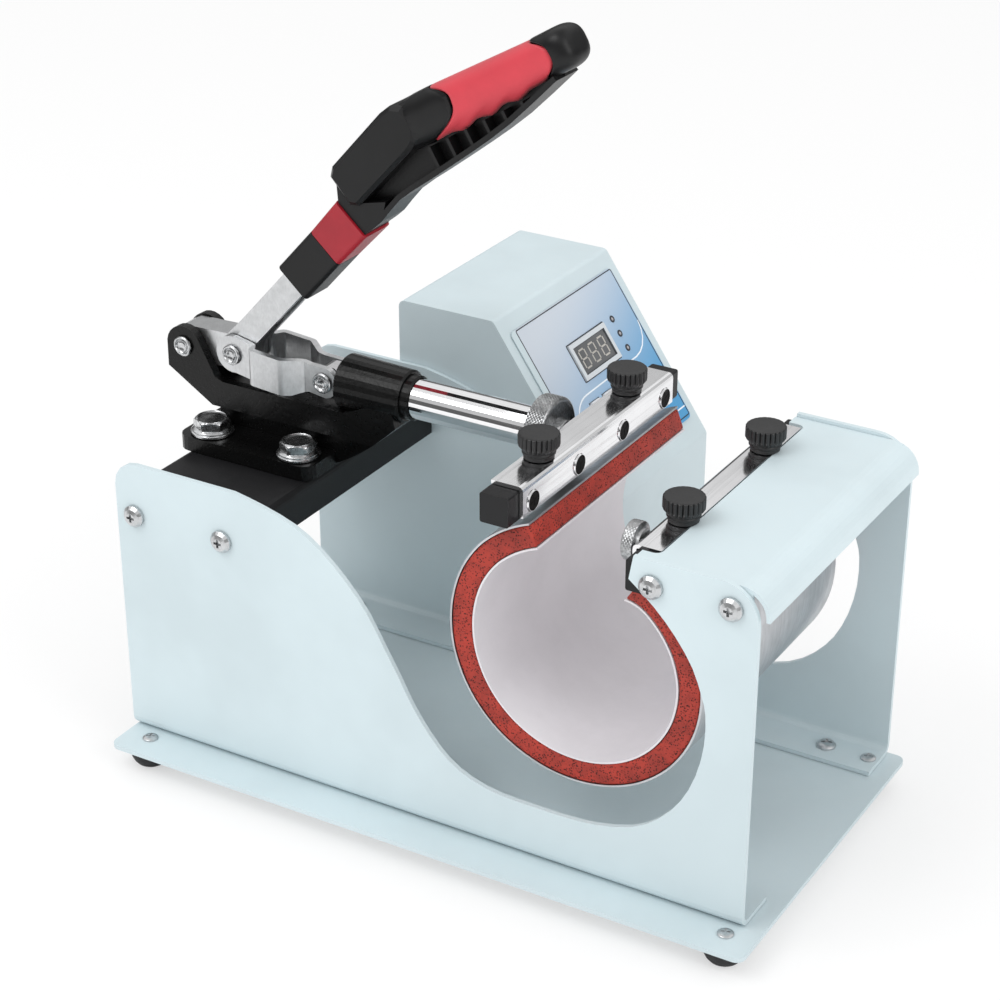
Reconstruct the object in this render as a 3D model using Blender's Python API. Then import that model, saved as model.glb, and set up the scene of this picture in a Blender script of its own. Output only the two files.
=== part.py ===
"""Mug heat press: wave-sided sheet metal stand, push-pull toggle clamp, ribbed grip,
wrap-round heater mat and a control box on the far side. Lengths in metres."""

from math import atan2, cos, pi, radians, sin, tau

import bmesh
import bpy
from mathutils import Matrix, Vector
from mathutils.geometry import tessellate_polygon

# general clearances
seat_gap = 0.0003
running_gap = 0.0004
overrun = 0.004
merge_distance = 1e-7
crease_angle = radians(32.0)
square_share = 0.9

# base plate and feet
base_length = 0.300
base_width = 0.163
base_sheet = 0.002
base_corner = 0.004
foot_height = 0.010
foot_top_radius = 0.0092
foot_bottom_radius = 0.0072
foot_edge = 0.0010
foot_inset_x = 0.0125
foot_inset_y = 0.0120
foot_stem_radius = 0.0023
foot_nub_radius = 0.0029
foot_nub_rise = 0.0020
foot_bore_radius = 0.0012
foot_bore_depth = 0.0060

# side plates
plate_sheet = 0.002
plate_setback = 0.017
plate_front_step = 0.008
plate_length = base_length - plate_front_step
plate_height = 0.149
plate_bend = 0.003
flange_width = 0.020
crown_height_share = 0.862
rear_corner = 0.011
post_corner = 0.016
post_width_share = 0.17603
wave_shares = (
    (0.2055, 0.8610), (0.2520, 0.8430), (0.3060, 0.8110), (0.3480, 0.7610),
    (0.3900, 0.6850), (0.4220, 0.6080), (0.4480, 0.5200), (0.4720, 0.4380),
    (0.4920, 0.3650), (0.5180, 0.2930), (0.5480, 0.2320), (0.5850, 0.1930),
    (0.6300, 0.1740), (0.6820, 0.1710), (0.7330, 0.1710), (0.7800, 0.1790),
    (0.8330, 0.2080), (0.8720, 0.2600), (0.9030, 0.3350), (0.9230, 0.4240),
    (0.9330, 0.5200), (0.9330, 0.6090), (0.9265, 0.6600), (0.9120, 0.7330),
    (0.8870, 0.8060), (0.8550, 0.8740), (0.8180, 0.9330))
flange_screw_rear = 0.026
flange_screw_front = 0.024
flange_screw_x = (flange_screw_rear, plate_length - flange_screw_front)
screw_radius = 0.0022
pan_radius = 0.0048
pan_rise = 0.0030
pan_dome_share = 0.60
pan_shoulder_share = 0.80
pan_shoulder_reach_share = 0.75
pan_crown_share = 0.42
recess_taper_share = 0.50
recess_arm = 0.0029
recess_width = 0.0011
recess_depth = 0.0016
bridge_screw_x = (0.0092, 0.0534)
bridge_screw_z = 0.1048
post_screw_shares = (0.8507, 0.9620)
post_screw_x = [plate_length * share for share in post_screw_shares]
post_screw_z = 0.1385
screw_reach = 0.0090

# bridge under the clamp
bridge_rear_x = 0.0015
bridge_length = 0.0620
bridge_top_z = 0.1136
bridge_depth = 0.0160
bridge_sheet = 0.0025
bridge_bend = 0.0030

# cover over the post
cover_sheet = 0.0015
cover_rear_proud = 0.0006
cover_front_proud = 0.0032
cover_top_z = 0.1475
cover_bend = 0.0110
cover_skirt = 0.0125
cover_notch_end = 0.0062
cover_notch_corner = 0.0030
cover_tab_width = 0.0140
cover_tab_drop = 0.0160

# control box
box_rear_x = 0.0455
box_length = 0.1047
box_depth = 0.1034
box_top_z = 0.1573
box_slope_top = 0.0485
box_brow_z = 0.0760
box_sheet = 0.0020
box_edge = 0.0030
cover_inset = 0.0006
box_screw_inset = 0.0048
vent_count = 7
vent_length = 0.0380
vent_height = 0.0025
vent_pitch = 0.0070
vent_base_z = 0.0180
film_thickness = 0.0005
film_start = 0.0084
film_end = 0.0880
film_side = 0.0058
film_corner = 0.0025
window_start = 0.0276
window_length = 0.0179
window_side = 0.0373
window_width = 0.0331
window_frame = 0.0022
window_rise = 0.0010
window_recess = 0.0008
window_depth = 0.0060
vent_end_share = 0.45
led_radius = 0.0015
led_start = 0.0289
led_pitch = 0.0076
led_side = 0.0763
led_count = 3
led_steps = 12
button_start = 0.0585
button_side = 0.0357
button_pitch = 0.0118
button_count = 4
button_length = 0.0080
button_width = 0.0090
button_corner = 0.0020
button_rise = 0.0022
button_stem = 0.0050
board_gap = 0.0085
board_thickness = 0.0016
board_margin = 0.0100
chip_sizes = ((0.012, 0.018, 0.006), (0.016, 0.014, 0.011), (0.010, 0.010, 0.008))
chip_place_shares = ((0.22, 0.30), (0.30, 0.70), (0.78, 0.50))
inlet_width = 0.0310
inlet_height = 0.0240
inlet_depth = 0.0200
inlet_lip = 0.0030
inlet_lip_rise = 0.0022
inlet_wall = 0.0015
inlet_key_share = 0.60
lip_edge_share = 0.30
inlet_cavity = 0.0150
inlet_side_share = 0.62
inlet_z = 0.0300
inlet_pin_radius = 0.0013
inlet_pin_pitch = 0.0070
switch_width = 0.0150
switch_height = 0.0210
switch_lip = 0.0020
switch_lip_rise = 0.0018
switch_depth = 0.0160
switch_side_share = 0.22
switch_z = 0.0320
rocker_gap = 0.0006
rocker_rise = 0.0030
rocker_root = 0.0060
rocker_wall = 0.0016
rocker_shoulder = 0.0024
rocker_dip = 0.0009

# toggle clamp
centre_share = 0.5
clamp_foot_rear_x = -0.0035
clamp_foot_length = 0.0680
clamp_foot_half = 0.0270
clamp_foot_thickness = 0.0065
clamp_foot_corner = 0.0060
clamp_bolt_x = (0.0085, 0.0530)
clamp_bolt_side = 0.0172
bolt_radius = 0.0040
bolt_flats_radius = 0.0065
bolt_head = 0.0046
bolt_flange_radius = 0.0086
bolt_flange_rise = 0.0008
washer_radius = 0.0096
washer_thickness = 0.0016
nut_height = 0.0062
bolt_tail = 0.0030
bolt_chamfer = 0.0007
bolt_steps = 24
pivot_a = (-0.0096, 0.1538)
pivot_b = (0.0149, 0.1546)
pivot_c = (0.0595, 0.1510)
axis_z = 0.1510
spine_half = 0.0104
waist_half = 0.0064
waist_z = 0.1292
waist_slope = 0.0020
saddle_z = 0.1412
saddle_groove = 0.0020
spine_rear_x = 0.0065
spine_front_x = 0.0630
ear_radius = 0.0088
ear_inner = 0.0064
ear_heel = (-0.0184, 0.1430)
ear_knee = (0.0047, 0.1287)
ear_toe = (0.0062, 0.1425)
ear_turn = (radians(172.0), radians(18.0))
ear_steps = 10
gusset_x = 0.0930
gusset_bow_share = 0.42
gusset_drop_share = 0.75
barrel_rear_x = 0.0672
barrel_front_x = 0.0985
barrel_rear_radius = 0.0120
barrel_front_radius = 0.0112
collar_front_x = 0.1025
collar_radius = 0.0096
bore_gap = 0.0003
plunger_radius = 0.0085
stud_reach = 0.0150
tang_half = 0.0040
tang_height = 0.0062
tang_length = 0.0130
tang_steps = 12
plunger_edge = 0.0008
lever_half = 0.0060
cheek_sheet = 0.0026
lever_boss_a = 0.0080
lever_boss_b = 0.0078
lever_width = 0.0115
lever_rear_turn = (radians(105.0), radians(262.0))
lever_rear_steps = 8
lever_front_turn = (radians(-82.0), radians(-15.0))
lever_front_steps = 6
lever_brow = (0.0043, 0.0076)
lever_brow_inner = (0.0039, 0.0048)
lever_rear_cut = 0.0050
stem_angle = radians(48.0)
stem_start = (0.0186, 0.1618)
stem_length = 0.0640
lever_web = 0.0026
link_sheet = 0.0026
link_inner_b = 0.0064
link_inner_c = 0.0044
link_inner_mid = 0.0108
link_jog_b = 0.0100
link_jog_run = 0.0022
link_jog_c = 0.0175
link_jog_c_run = 0.0080
link_boss_b = 0.0083
link_boss_c = 0.0070
link_waist = 0.0088
link_brow = 0.0070
link_shoulder = 0.0131
link_chin = 0.0063
link_bend = 0.0021
link_bend_steps = 3
link_turn = radians(75.0)
link_rear_steps = 14
link_front_steps = 10
pin_radius = 0.0030
pin_head_radius = 0.0039
pin_head_rise = 0.0012
pin_crown_radius = 0.0032
pin_steps = 16
pin_dimple_radius = 0.0016
pin_dimple_depth = 0.0006

# adjusting nut and stud
adjuster_radius = 0.0152
adjuster_width = 0.0094
adjuster_edge = 0.0010
adjuster_face_step = 0.0015
adjuster_ridges = 36
adjuster_ridge_depth = 0.0006
stud_radius = 0.0042

# grip
socket_start = 0.0425
socket_end = 0.0672
collar_end = 0.0874
socket_half_thick = 0.0089
socket_half_width = 0.0090
collar_flare = 0.0005
stem_corner = 0.0020
grip_angle = radians(31.3)
grip_axis = (0.1112, 0.2740)
sleeve_length = 0.0568
sleeve_rear_half = 0.0101
sleeve_front_half = 0.0082
sleeve_rear_width = 0.0112
sleeve_front_width = 0.0098
sleeve_wall = 0.0022
sleeve_end_gap = 0.0005
sleeve_slot = radians(10.0)
sleeve_squareness = 0.72
sleeve_steps = 24
sleeve_rear_bow = (0.0012, 0.0044, 0.0160)
sleeve_front_bow = (-0.0005, -0.0005, 0.0095)
grip_cap_length = 0.0172
cap_shares = ((0.62, 0.97), (0.82, 0.86), (0.95, 0.62), (1.0, 0.34))
shoulder_length = 0.0150
lobe_outline = ((0.0686, 0.2434), (0.0696, 0.2478), (0.0925, 0.2734), (0.0972, 0.2773), (0.1027, 0.2777),
                (0.1068, 0.2743), (0.1092, 0.2692), (0.1090, 0.2648), (0.1068, 0.2610), (0.0820, 0.2338),
                (0.0777, 0.2335))
lobe_half = 0.0112
lobe_edge = 0.0016
bar_outline = ((0.0842, 0.2222), (0.0915, 0.2284), (0.1003, 0.2392), (0.1138, 0.2496), (0.1321, 0.2636),
               (0.1500, 0.2784), (0.1700, 0.2985))
bar_steps = 2
bar_half = 0.0084
bar_edge = 0.0022
web_half = 0.0016
neck_half = 0.0084
neck_top = (0.0935, 0.2370)
rib_count = 6
rib_sheet = 0.0014
rib_half = 0.0074
rib_first = -0.0040
rib_pitch = 0.0096

# mat clamps
bar_behind = 0.0370
bar_square = 0.0125
bar_top_z = 0.1566
bar_end_gap = 0.0007
small_corner_steps = 2
moving_bar_edge = 0.0008
strip_sheet = 0.0015
strip_end_gap = 0.0087
strip_bend = 0.0013
strip_bend_steps = 3
moving_strip_drop = 0.0131
strip_screw_side = (0.0183, 0.0545)
strip_screw_radius = 0.0024
strip_screw_depth = 0.0080
strip_screw_root = 0.0014
strip_slot_radius = 0.0024
knob_side = 0.0360
knob_top_radius = 0.0083
knob_foot_radius = 0.0061
knob_foot_height = 0.0020
knob_ring_radius = 0.0067
knob_ring_height = 0.0012
knob_head_start = 0.0054
knob_height = 0.0105
knob_edge = 0.0006
knob_flutes = 18
knob_flute_depth = 0.0006
knob_stud_radius = 0.0020
knob_stud_depth = 0.0100
fixed_bar_proud = 0.0042
fixed_bar_length_x = 0.0160
fixed_bar_height = 0.0130
fixed_strip_flange = 0.0120
fixed_strip_drop = 0.0148
fixed_knob_x = 0.0061
stop_nut_radius = 0.0082
stop_nut_width = 0.0062
stop_nut_edge = 0.0007
stop_nut_ridge = 0.0004
stop_nut_inset = 0.0187
stop_nut_z = 0.1432
stop_stud_radius = 0.0024
stop_stud_proud = 0.0022

# heater mat
ring_share = 0.72089
ring_z = 0.0912
mat_end_gap = 0.0087
sponge_thickness = 0.0090
liner_thickness = 0.0008
band_thickness = 0.0008
layer_gap = 0.0002
mat_path = ((111.0, 0.0511), (123.0, 0.0513), (137.0, 0.0515), (152.0, 0.0511), (165.0, 0.0505),
            (180.0, 0.0500), (200.0, 0.0497), (225.0, 0.0497), (250.0, 0.0498), (275.0, 0.0503),
            (300.0, 0.0508), (320.0, 0.0508), (340.0, 0.0505), (360.0, 0.0498), (377.0, 0.0487),
            (397.0, 0.0470), (405.0, 0.0463), (411.0, 0.0450), (416.0, 0.0433))
mat_steps_between = 3

# places that several pieces share, and the origin of the whole part
far_face_y = base_width
centre_y = (plate_setback + far_face_y) * centre_share
box_near_y = far_face_y + seat_gap
box_far_y = box_near_y + box_depth
floor_z = -base_sheet - foot_height
inner_low_y = plate_setback + plate_sheet + seat_gap
inner_high_y = far_face_y - plate_sheet - seat_gap
inner_half = (inner_high_y - inner_low_y) / 2
ring_centre = (plate_length * ring_share, ring_z)
bar_rear_x = ring_centre[0] - bar_behind
plunger_front_x = bar_rear_x - stud_reach
post_rear_x = plate_length * (1 - post_width_share)
fixed_bar_rear_x = post_rear_x - fixed_bar_proud
origin = Vector(((base_length + pivot_a[0] - ear_radius) * centre_share,
                 box_far_y * centre_share, floor_z))

materials = {
    "coat": ((0.62, 0.70, 0.74, 1.0), 0.0, 0.35),
    "black_coat": ((0.012, 0.012, 0.013, 1.0), 0.0, 0.45),
    "rubber": ((0.015, 0.015, 0.016, 1.0), 0.0, 0.75),
    "zinc": ((0.72, 0.73, 0.74, 1.0), 1.0, 0.28),
    "stainless": ((0.70, 0.70, 0.71, 1.0), 1.0, 0.18),
    "chrome": ((0.80, 0.80, 0.81, 1.0), 1.0, 0.06),
    "cast_black": ((0.010, 0.010, 0.010, 1.0), 0.0, 0.22),
    "black_plastic": ((0.020, 0.020, 0.022, 1.0), 0.0, 0.42),
    "red_plastic": ((0.45, 0.012, 0.022, 1.0), 0.0, 0.35),
    "red_soft": ((0.60, 0.040, 0.060, 1.0), 0.0, 0.50),
    "silicone": ((0.33, 0.022, 0.016, 1.0), 0.0, 0.70),
    "liner": ((0.60, 0.52, 0.54, 1.0), 0.0, 0.40),
    "band": ((0.30, 0.32, 0.34, 1.0), 1.0, 0.35),
    "film": ((0.30, 0.45, 0.72, 1.0), 0.0, 0.30),
    "window": ((0.05, 0.06, 0.07, 1.0), 0.0, 0.15),
    "button": ((0.75, 0.76, 0.78, 1.0), 0.0, 0.35),
    "board": ((0.02, 0.16, 0.06, 1.0), 0.0, 0.50),
}

round_steps = 32
small_steps = 20
corner_steps = 4
wave_steps = 2
vent_end_steps = 2


def clear_scene():
    for item in list(bpy.data.objects):
        bpy.data.objects.remove(item, do_unlink=True)


def material(name):
    known = bpy.data.materials.get(name)
    if known:
        return known
    made = bpy.data.materials.new(name)
    made.use_nodes = True
    colour, metallic, roughness = materials[name]
    shader = made.node_tree.nodes["Principled BSDF"]
    shader.inputs["Base Color"].default_value = colour
    shader.inputs["Metallic"].default_value = metallic
    shader.inputs["Roughness"].default_value = roughness
    return made


def finish(name, bm, slot, pivot=None, smooth=True):
    """Turns a bmesh in layout coordinates into a named object, with its origin on the pivot."""
    bmesh.ops.remove_doubles(bm, verts=bm.verts, dist=merge_distance)
    bmesh.ops.recalc_face_normals(bm, faces=bm.faces)
    place = Vector(pivot) if pivot is not None else Vector(origin)
    bmesh.ops.translate(bm, verts=bm.verts, vec=-place)
    mesh = bpy.data.meshes.new(name)
    bm.to_mesh(mesh)
    bm.free()
    made = bpy.data.objects.new(name, mesh)
    made.location = place - origin
    bpy.context.scene.collection.objects.link(made)
    if slot:
        mesh.materials.append(material(slot))
    if smooth:
        mesh.shade_smooth()
        mesh.set_sharp_from_angle(angle=crease_angle)
    return made


def combine(target, bm, operation, label):
    """Adds a Boolean of a hidden guide solid to the target."""
    guide = finish(target.name + "_" + label, bm, None, smooth=False)
    guide.hide_render = True
    guide.display_type = "WIRE"
    change = target.modifiers.new(label, "BOOLEAN")
    change.operation = operation
    change.solver = "EXACT"
    change.object = guide
    return guide


def along_x(a, b, w):
    return Vector((w, a, b))


def along_y(a, b, w):
    return Vector((a, w, b))


def along_z(a, b, w):
    return Vector((a, b, w))


def prism(bm, loops, space, low, high):
    """A flat outline, with optional holes, made solid between two levels."""
    flat = [[Vector((a, b, 0.0)) for a, b in loop] for loop in loops]
    rows = []
    for level in (low, high):
        rows.append([bm.verts.new(space(a, b, level)) for loop in loops for a, b in loop])
    for triangle in tessellate_polygon(flat):
        for row in rows:
            bm.faces.new([row[index] for index in triangle])
    start = 0
    for loop in loops:
        size = len(loop)
        for index in range(size):
            here = start + index
            following = start + (index + 1) % size
            bm.faces.new((rows[0][here], rows[0][following], rows[1][following], rows[1][here]))
        start += size
    return rows


def block(bm, low, high):
    outline = ((low[0], low[1]), (high[0], low[1]), (high[0], high[1]), (low[0], high[1]))
    prism(bm, [outline], along_z, low[2], high[2])


def loft(bm, rings):
    """Closed rings of points joined in order, with both ends capped."""
    rows = [[bm.verts.new(point) for point in ring] for ring in rings]
    for lower, upper in zip(rows, rows[1:]):
        size = len(lower)
        for index in range(size):
            following = (index + 1) % size
            bm.faces.new((lower[index], lower[following], upper[following], upper[index]))
    bm.faces.new(rows[0])
    bm.faces.new(rows[-1])


def closed_offset(points, distance):
    """A closed outline moved sideways, to its left when the distance is positive."""
    moved = []
    count = len(points)
    for index in range(count):
        here = Vector(points[index])
        before = (here - Vector(points[index - 1])).normalized()
        after = (Vector(points[(index + 1) % count]) - here).normalized()
        first = Vector((-before.y, before.x))
        side = (first + Vector((-after.y, after.x))).normalized()
        moved.append(tuple(here + side * (distance / side.dot(first))))
    return moved


def turns_left(points):
    area = 0.0
    for index, (a, b) in enumerate(points):
        area += points[index - 1][0] * b - a * points[index - 1][1]
    return area > 0


def pillow(bm, outline, space, low, high, edge):
    """A prism whose two ends have chamfered edges."""
    inner = closed_offset(outline, edge if turns_left(outline) else -edge)
    rings = []
    for level, points in ((low, inner), (low + edge, outline), (high - edge, outline), (high, inner)):
        rings.append([space(a, b, level) for a, b in points])
    loft(bm, rings)


def circle(centre, radius, steps):
    return [(centre[0] + radius * cos(tau * k / steps), centre[1] + radius * sin(tau * k / steps))
            for k in range(steps)]


def arc(centre, radius, start, end, steps):
    return [(centre[0] + radius * cos(start + (end - start) * k / steps),
             centre[1] + radius * sin(start + (end - start) * k / steps)) for k in range(steps + 1)]


def rounded(points, radii, steps=corner_steps):
    """An outline with its corners rounded; radius zero keeps a corner sharp."""
    outline = []
    count = len(points)
    for index, radius in enumerate(radii):
        here = Vector(points[index])
        if not radius:
            outline.append(tuple(here))
            continue
        before = (Vector(points[index - 1]) - here).normalized()
        after = (Vector(points[(index + 1) % count]) - here).normalized()
        half = before.angle(after) / 2
        run = radius / (sin(half) / cos(half))
        start = here + before * run
        end = here + after * run
        middle = here + (before + after).normalized() * (radius / sin(half))
        first = atan2(start.y - middle.y, start.x - middle.x)
        swing = atan2(end.y - middle.y, end.x - middle.x) - first
        swing = (swing + pi) % tau - pi
        outline += arc(middle, radius, first, first + swing, steps)
    return outline


def rectangle(low, high, radius=0.0, steps=corner_steps):
    points = ((low[0], low[1]), (high[0], low[1]), (high[0], high[1]), (low[0], high[1]))
    return rounded(points, (radius,) * len(points), steps)


def smooth_curve(points, steps):
    """A curve through the points, with straight ends."""
    spots = [Vector(point) for point in points]
    spots = [spots[0] * 2 - spots[1]] + spots + [spots[-1] * 2 - spots[-2]]
    curve = []
    for index in range(1, len(spots) - 2):
        p0, p1, p2, p3 = spots[index - 1:index + 3]
        for k in range(steps):
            t = k / steps
            curve.append((p1 * 2 + (p2 - p0) * t + (p0 * 2 - p1 * 5 + p2 * 4 - p3) * t * t
                          + (p1 * 3 - p0 - p2 * 3 + p3) * t * t * t) / 2)
    curve.append(spots[-2])
    return [tuple(point) for point in curve]


def offset_curve(points, distance):
    """The open curve moved sideways, to its left when the distance is positive."""
    moved = []
    last = len(points) - 1
    for index, point in enumerate(points):
        ahead = Vector(points[min(index + 1, last)]) - Vector(points[max(index - 1, 0)])
        side = Vector((-ahead.y, ahead.x)).normalized()
        if 0 < index < last:
            edge = Vector(points[index]) - Vector(points[index - 1])
            normal = Vector((-edge.y, edge.x)).normalized()
            moved.append(tuple(Vector(point) + side * (distance / side.dot(normal))))
        else:
            moved.append(tuple(Vector(point) + side * distance))
    return moved


def sheet_outline(points, thickness):
    half = thickness / 2
    return offset_curve(points, half) + offset_curve(points, -half)[::-1]


def bent_path(points, radius, steps=corner_steps):
    """An open path with each inner corner bent round."""
    radii = [0.0] + [radius] * (len(points) - 2) + [0.0]
    return rounded(points, radii, steps)


def frame_of(direction):
    """Two unit vectors square to the direction."""
    along = Vector(direction).normalized()
    side = Vector((0.0, 1.0, 0.0)) if abs(along.y) < square_share else Vector((1.0, 0.0, 0.0))
    first = along.cross(side).normalized()
    return along, first, along.cross(first)


def turn(bm, start, direction, profile, steps=round_steps, ripple=None):
    """A solid of revolution; the profile lists distance along the axis and radius."""
    along, first, second = frame_of(direction)
    base = Vector(start)
    rings = []
    for distance, radius in profile:
        centre = base + along * distance
        if radius == 0:
            rings.append([bm.verts.new(centre)])
            continue
        ring = []
        for k in range(steps):
            reach = radius
            if ripple and radius >= ripple[0]:
                reach -= ripple[1] * (k % ripple[2] == 0)
            angle = tau * k / steps
            ring.append(bm.verts.new(centre + first * (reach * cos(angle))
                                     + second * (reach * sin(angle))))
        rings.append(ring)
    for lower, upper in zip(rings, rings[1:]):
        for k in range(steps):
            following = (k + 1) % steps
            if len(lower) == 1:
                bm.faces.new((lower[0], upper[k], upper[following]))
            elif len(upper) == 1:
                bm.faces.new((lower[k], lower[following], upper[0]))
            else:
                bm.faces.new((lower[k], lower[following], upper[following], upper[k]))


def tube(bm, start, direction, profile, steps=round_steps):
    """A ring-shaped solid: the closed profile lists distance along the axis and radius."""
    along, first, second = frame_of(direction)
    base = Vector(start)
    rows = []
    for k in range(steps):
        angle = tau * k / steps
        side = first * cos(angle) + second * sin(angle)
        rows.append([bm.verts.new(base + along * distance + side * radius)
                     for distance, radius in profile])
    size = len(profile)
    for k in range(steps):
        here, there = rows[k], rows[(k + 1) % steps]
        for index in range(size):
            following = (index + 1) % size
            bm.faces.new((here[index], here[following], there[following], there[index]))


def rod(bm, start, direction, length, radius, steps=small_steps):
    turn(bm, start, direction, ((0.0, 0.0), (0.0, radius), (length, radius), (length, 0.0)), steps)


def grow_face(bm, corners, rings):
    """Replaces the face over the four corners by a run of sections and an end face."""
    old = bm.faces.get(corners)
    if old:
        bm.faces.remove(old)
    lower = list(corners)
    for ring in rings:
        upper = [bm.verts.new(point) for point in ring]
        for index in range(len(lower)):
            following = (index + 1) % len(lower)
            bm.faces.new((lower[index], lower[following], upper[following], upper[index]))
        lower = upper
    bm.faces.new(lower)


def hexagon_reach(radius, angle):
    """Distance to a hexagon's side, in the direction of the angle."""
    sixth = pi / 3
    return radius / cos((angle + sixth / 2) % sixth - sixth / 2)


def hexagon_block(bm, start, direction, length, flats_radius):
    along, first, second = frame_of(direction)
    rings = []
    for distance in (0.0, length):
        centre = Vector(start) + along * distance
        reach = hexagon_reach(flats_radius, pi / 6)
        rings.append([centre + first * (reach * cos(pi / 6 + pi / 3 * k))
                      + second * (reach * sin(pi / 6 + pi / 3 * k)) for k in range(6)])
    loft(bm, rings)


def pan_screws(name, seats):
    """Pan-head screws with crossed recesses; each seat gives a place and the way the head looks."""
    edge = pan_rise * (1 - pan_dome_share)
    profile = (
        (-screw_reach, 0.0), (-screw_reach, screw_radius), (0.0, screw_radius), (0.0, pan_radius),
        (edge, pan_radius), (pan_rise * pan_shoulder_share, pan_radius * pan_shoulder_reach_share),
        (pan_rise, pan_radius * pan_crown_share), (pan_rise, 0.0))
    for index, (seat, way) in enumerate(seats):
        bm = bmesh.new()
        turn(bm, seat, way, profile, small_steps)
        made = finish(name + "_" + str(index + 1), bm, "zinc")
        recess = bmesh.new()
        cross_recess(recess, seat, way)
        combine(made, recess, "DIFFERENCE", "recess")


def cross_recess(bm, seat, direction):
    """Cutter for a crossed driver recess, tapering toward its floor."""
    along, first, second = frame_of(direction)
    half = recess_width / 2
    rings = []
    for lift, arm in ((pan_rise - recess_depth, recess_arm * recess_taper_share),
                      (pan_rise + overrun, recess_arm)):
        centre = Vector(seat) + along * lift
        ring = []
        for one, other in ((first, second), (second, -first), (-first, -second), (-second, first)):
            ring.append(centre + one * half - other * half)
            ring.append(centre + one * arm - other * half)
            ring.append(centre + one * arm + other * half)
        rings.append(ring)
    loft(bm, rings)


def base_plate():
    holes = [circle((x, y), foot_stem_radius + seat_gap, small_steps) for x, y in foot_places()]
    for y in flange_screw_rows():
        for x in flange_screw_x:
            holes.append(circle((x, y), screw_radius + seat_gap, small_steps))
    outline = rectangle((0.0, 0.0), (base_length, base_width), base_corner)
    bm = bmesh.new()
    prism(bm, [outline] + holes, along_z, -base_sheet, 0.0)
    finish("base_plate", bm, "coat", smooth=False)


def foot_places():
    return [(x, y) for x in (foot_inset_x, base_length - foot_inset_x)
            for y in (foot_inset_y, base_width - foot_inset_y)]


def flange_screw_rows():
    return (plate_setback + plate_sheet + flange_width / 2,
            far_face_y - plate_sheet - flange_width / 2)


def under_flange(y):
    return y > far_face_y - flange_width - plate_sheet


def feet():
    """Rubber feet; a hollow nub is pushed up through the sheets above and holds each one."""
    down = (0.0, 0.0, -1.0)
    height = foot_height - seat_gap
    floor = foot_bore_depth - base_sheet
    for index, (x, y) in enumerate(foot_places()):
        above = -base_sheet - seat_gap * 2
        if under_flange(y):
            above -= plate_sheet + seat_gap
        profile = (
            (floor, 0.0), (floor, foot_bore_radius), (above - foot_nub_rise, foot_bore_radius),
            (above - foot_nub_rise, foot_stem_radius), (above, foot_nub_radius), (above, foot_stem_radius),
            (0.0, foot_stem_radius), (0.0, foot_top_radius - foot_edge), (foot_edge, foot_top_radius),
            (height - foot_edge, foot_bottom_radius), (height, foot_bottom_radius - foot_edge),
            (height, 0.0))
        bm = bmesh.new()
        turn(bm, (x, y, -base_sheet - seat_gap), down, profile, small_steps)
        finish("rubber_foot_" + str(index + 1), bm, "rubber")


def plate_outline(low_z):
    """Seen along Y: crown at the rear, wave and round cut-out, post at the front."""
    crown_z = plate_height * crown_height_share
    wave = smooth_curve([(a * plate_length, b * plate_height) for a, b in wave_shares], wave_steps)
    rear = rounded(((0.0, low_z), (0.0, crown_z), wave[0]), (0.0, rear_corner, 0.0))[:-1]
    tip = [(post_rear_x, plate_height)]
    front = rounded((tip[0], (plate_length, plate_height), (plate_length, low_z)),
                    (0.0, post_corner, 0.0), corner_steps * 2)[1:]
    return rear + wave + tip + front


def side_plate(name, outer_y, inward, holes):
    low_z = plate_bend + plate_sheet + seat_gap
    outline = plate_outline(low_z)
    inner_y = outer_y + inward * plate_sheet
    bm = bmesh.new()
    rows = prism(bm, [outline] + holes, along_y, outer_y, inner_y)
    last = len(outline) - 1
    corners = [rows[0][0], rows[0][last], rows[1][last], rows[1][0]]
    hinge_y = inner_y + inward * plate_bend
    rings = []
    for k in range(1, corner_steps + 1):
        angle = pi / 2 * k / corner_steps
        ring = []
        for x, radius in ((0.0, plate_bend + plate_sheet), (plate_length, plate_bend + plate_sheet),
                          (plate_length, plate_bend), (0.0, plate_bend)):
            ring.append((x, hinge_y - inward * radius * cos(angle), low_z - radius * sin(angle)))
        rings.append(ring)
    tip_y = outer_y + inward * (flange_width + plate_sheet)
    rings.append([(x, tip_y, z) for x, _, z in rings[-1]])
    grow_face(bm, corners, rings)
    made = finish(name, bm, "coat")
    cutter = bmesh.new()
    row = flange_screw_rows()[0 if inward > 0 else 1]
    places = [(x, row, screw_radius) for x in flange_screw_x]
    places += [(x, y, foot_stem_radius) for x, y in foot_places() if inward < 0 and under_flange(y)]
    for x, y, radius in places:
        rod(cutter, (x, y, -overrun), (0.0, 0.0, 1.0), overrun + plate_sheet + overrun, radius + seat_gap)
    combine(made, cutter, "DIFFERENCE", "flange_holes")


def plate_holes(extra=()):
    places = [(x, bridge_screw_z) for x in bridge_screw_x] + [(x, post_screw_z) for x in post_screw_x]
    return [circle(place, screw_radius + seat_gap, small_steps) for place in places + list(extra)]


def side_screws(name, xs, z):
    """Screws through both side plates; one inside the control box holds the box as well."""
    seats = []
    for outer_y, way in ((plate_setback, -1.0), (far_face_y, 1.0)):
        for x in xs:
            boxed = way > 0 and x > box_rear_x and x < box_rear_x + box_length
            seat_y = box_near_y + box_sheet if boxed else outer_y
            seats.append(((x, seat_y + way * seat_gap, z), (0.0, way, 0.0)))
    pan_screws(name, seats)


def inner_span():
    return inner_low_y, inner_high_y


def stop_nut_y():
    return inner_low_y + stop_nut_inset


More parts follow.
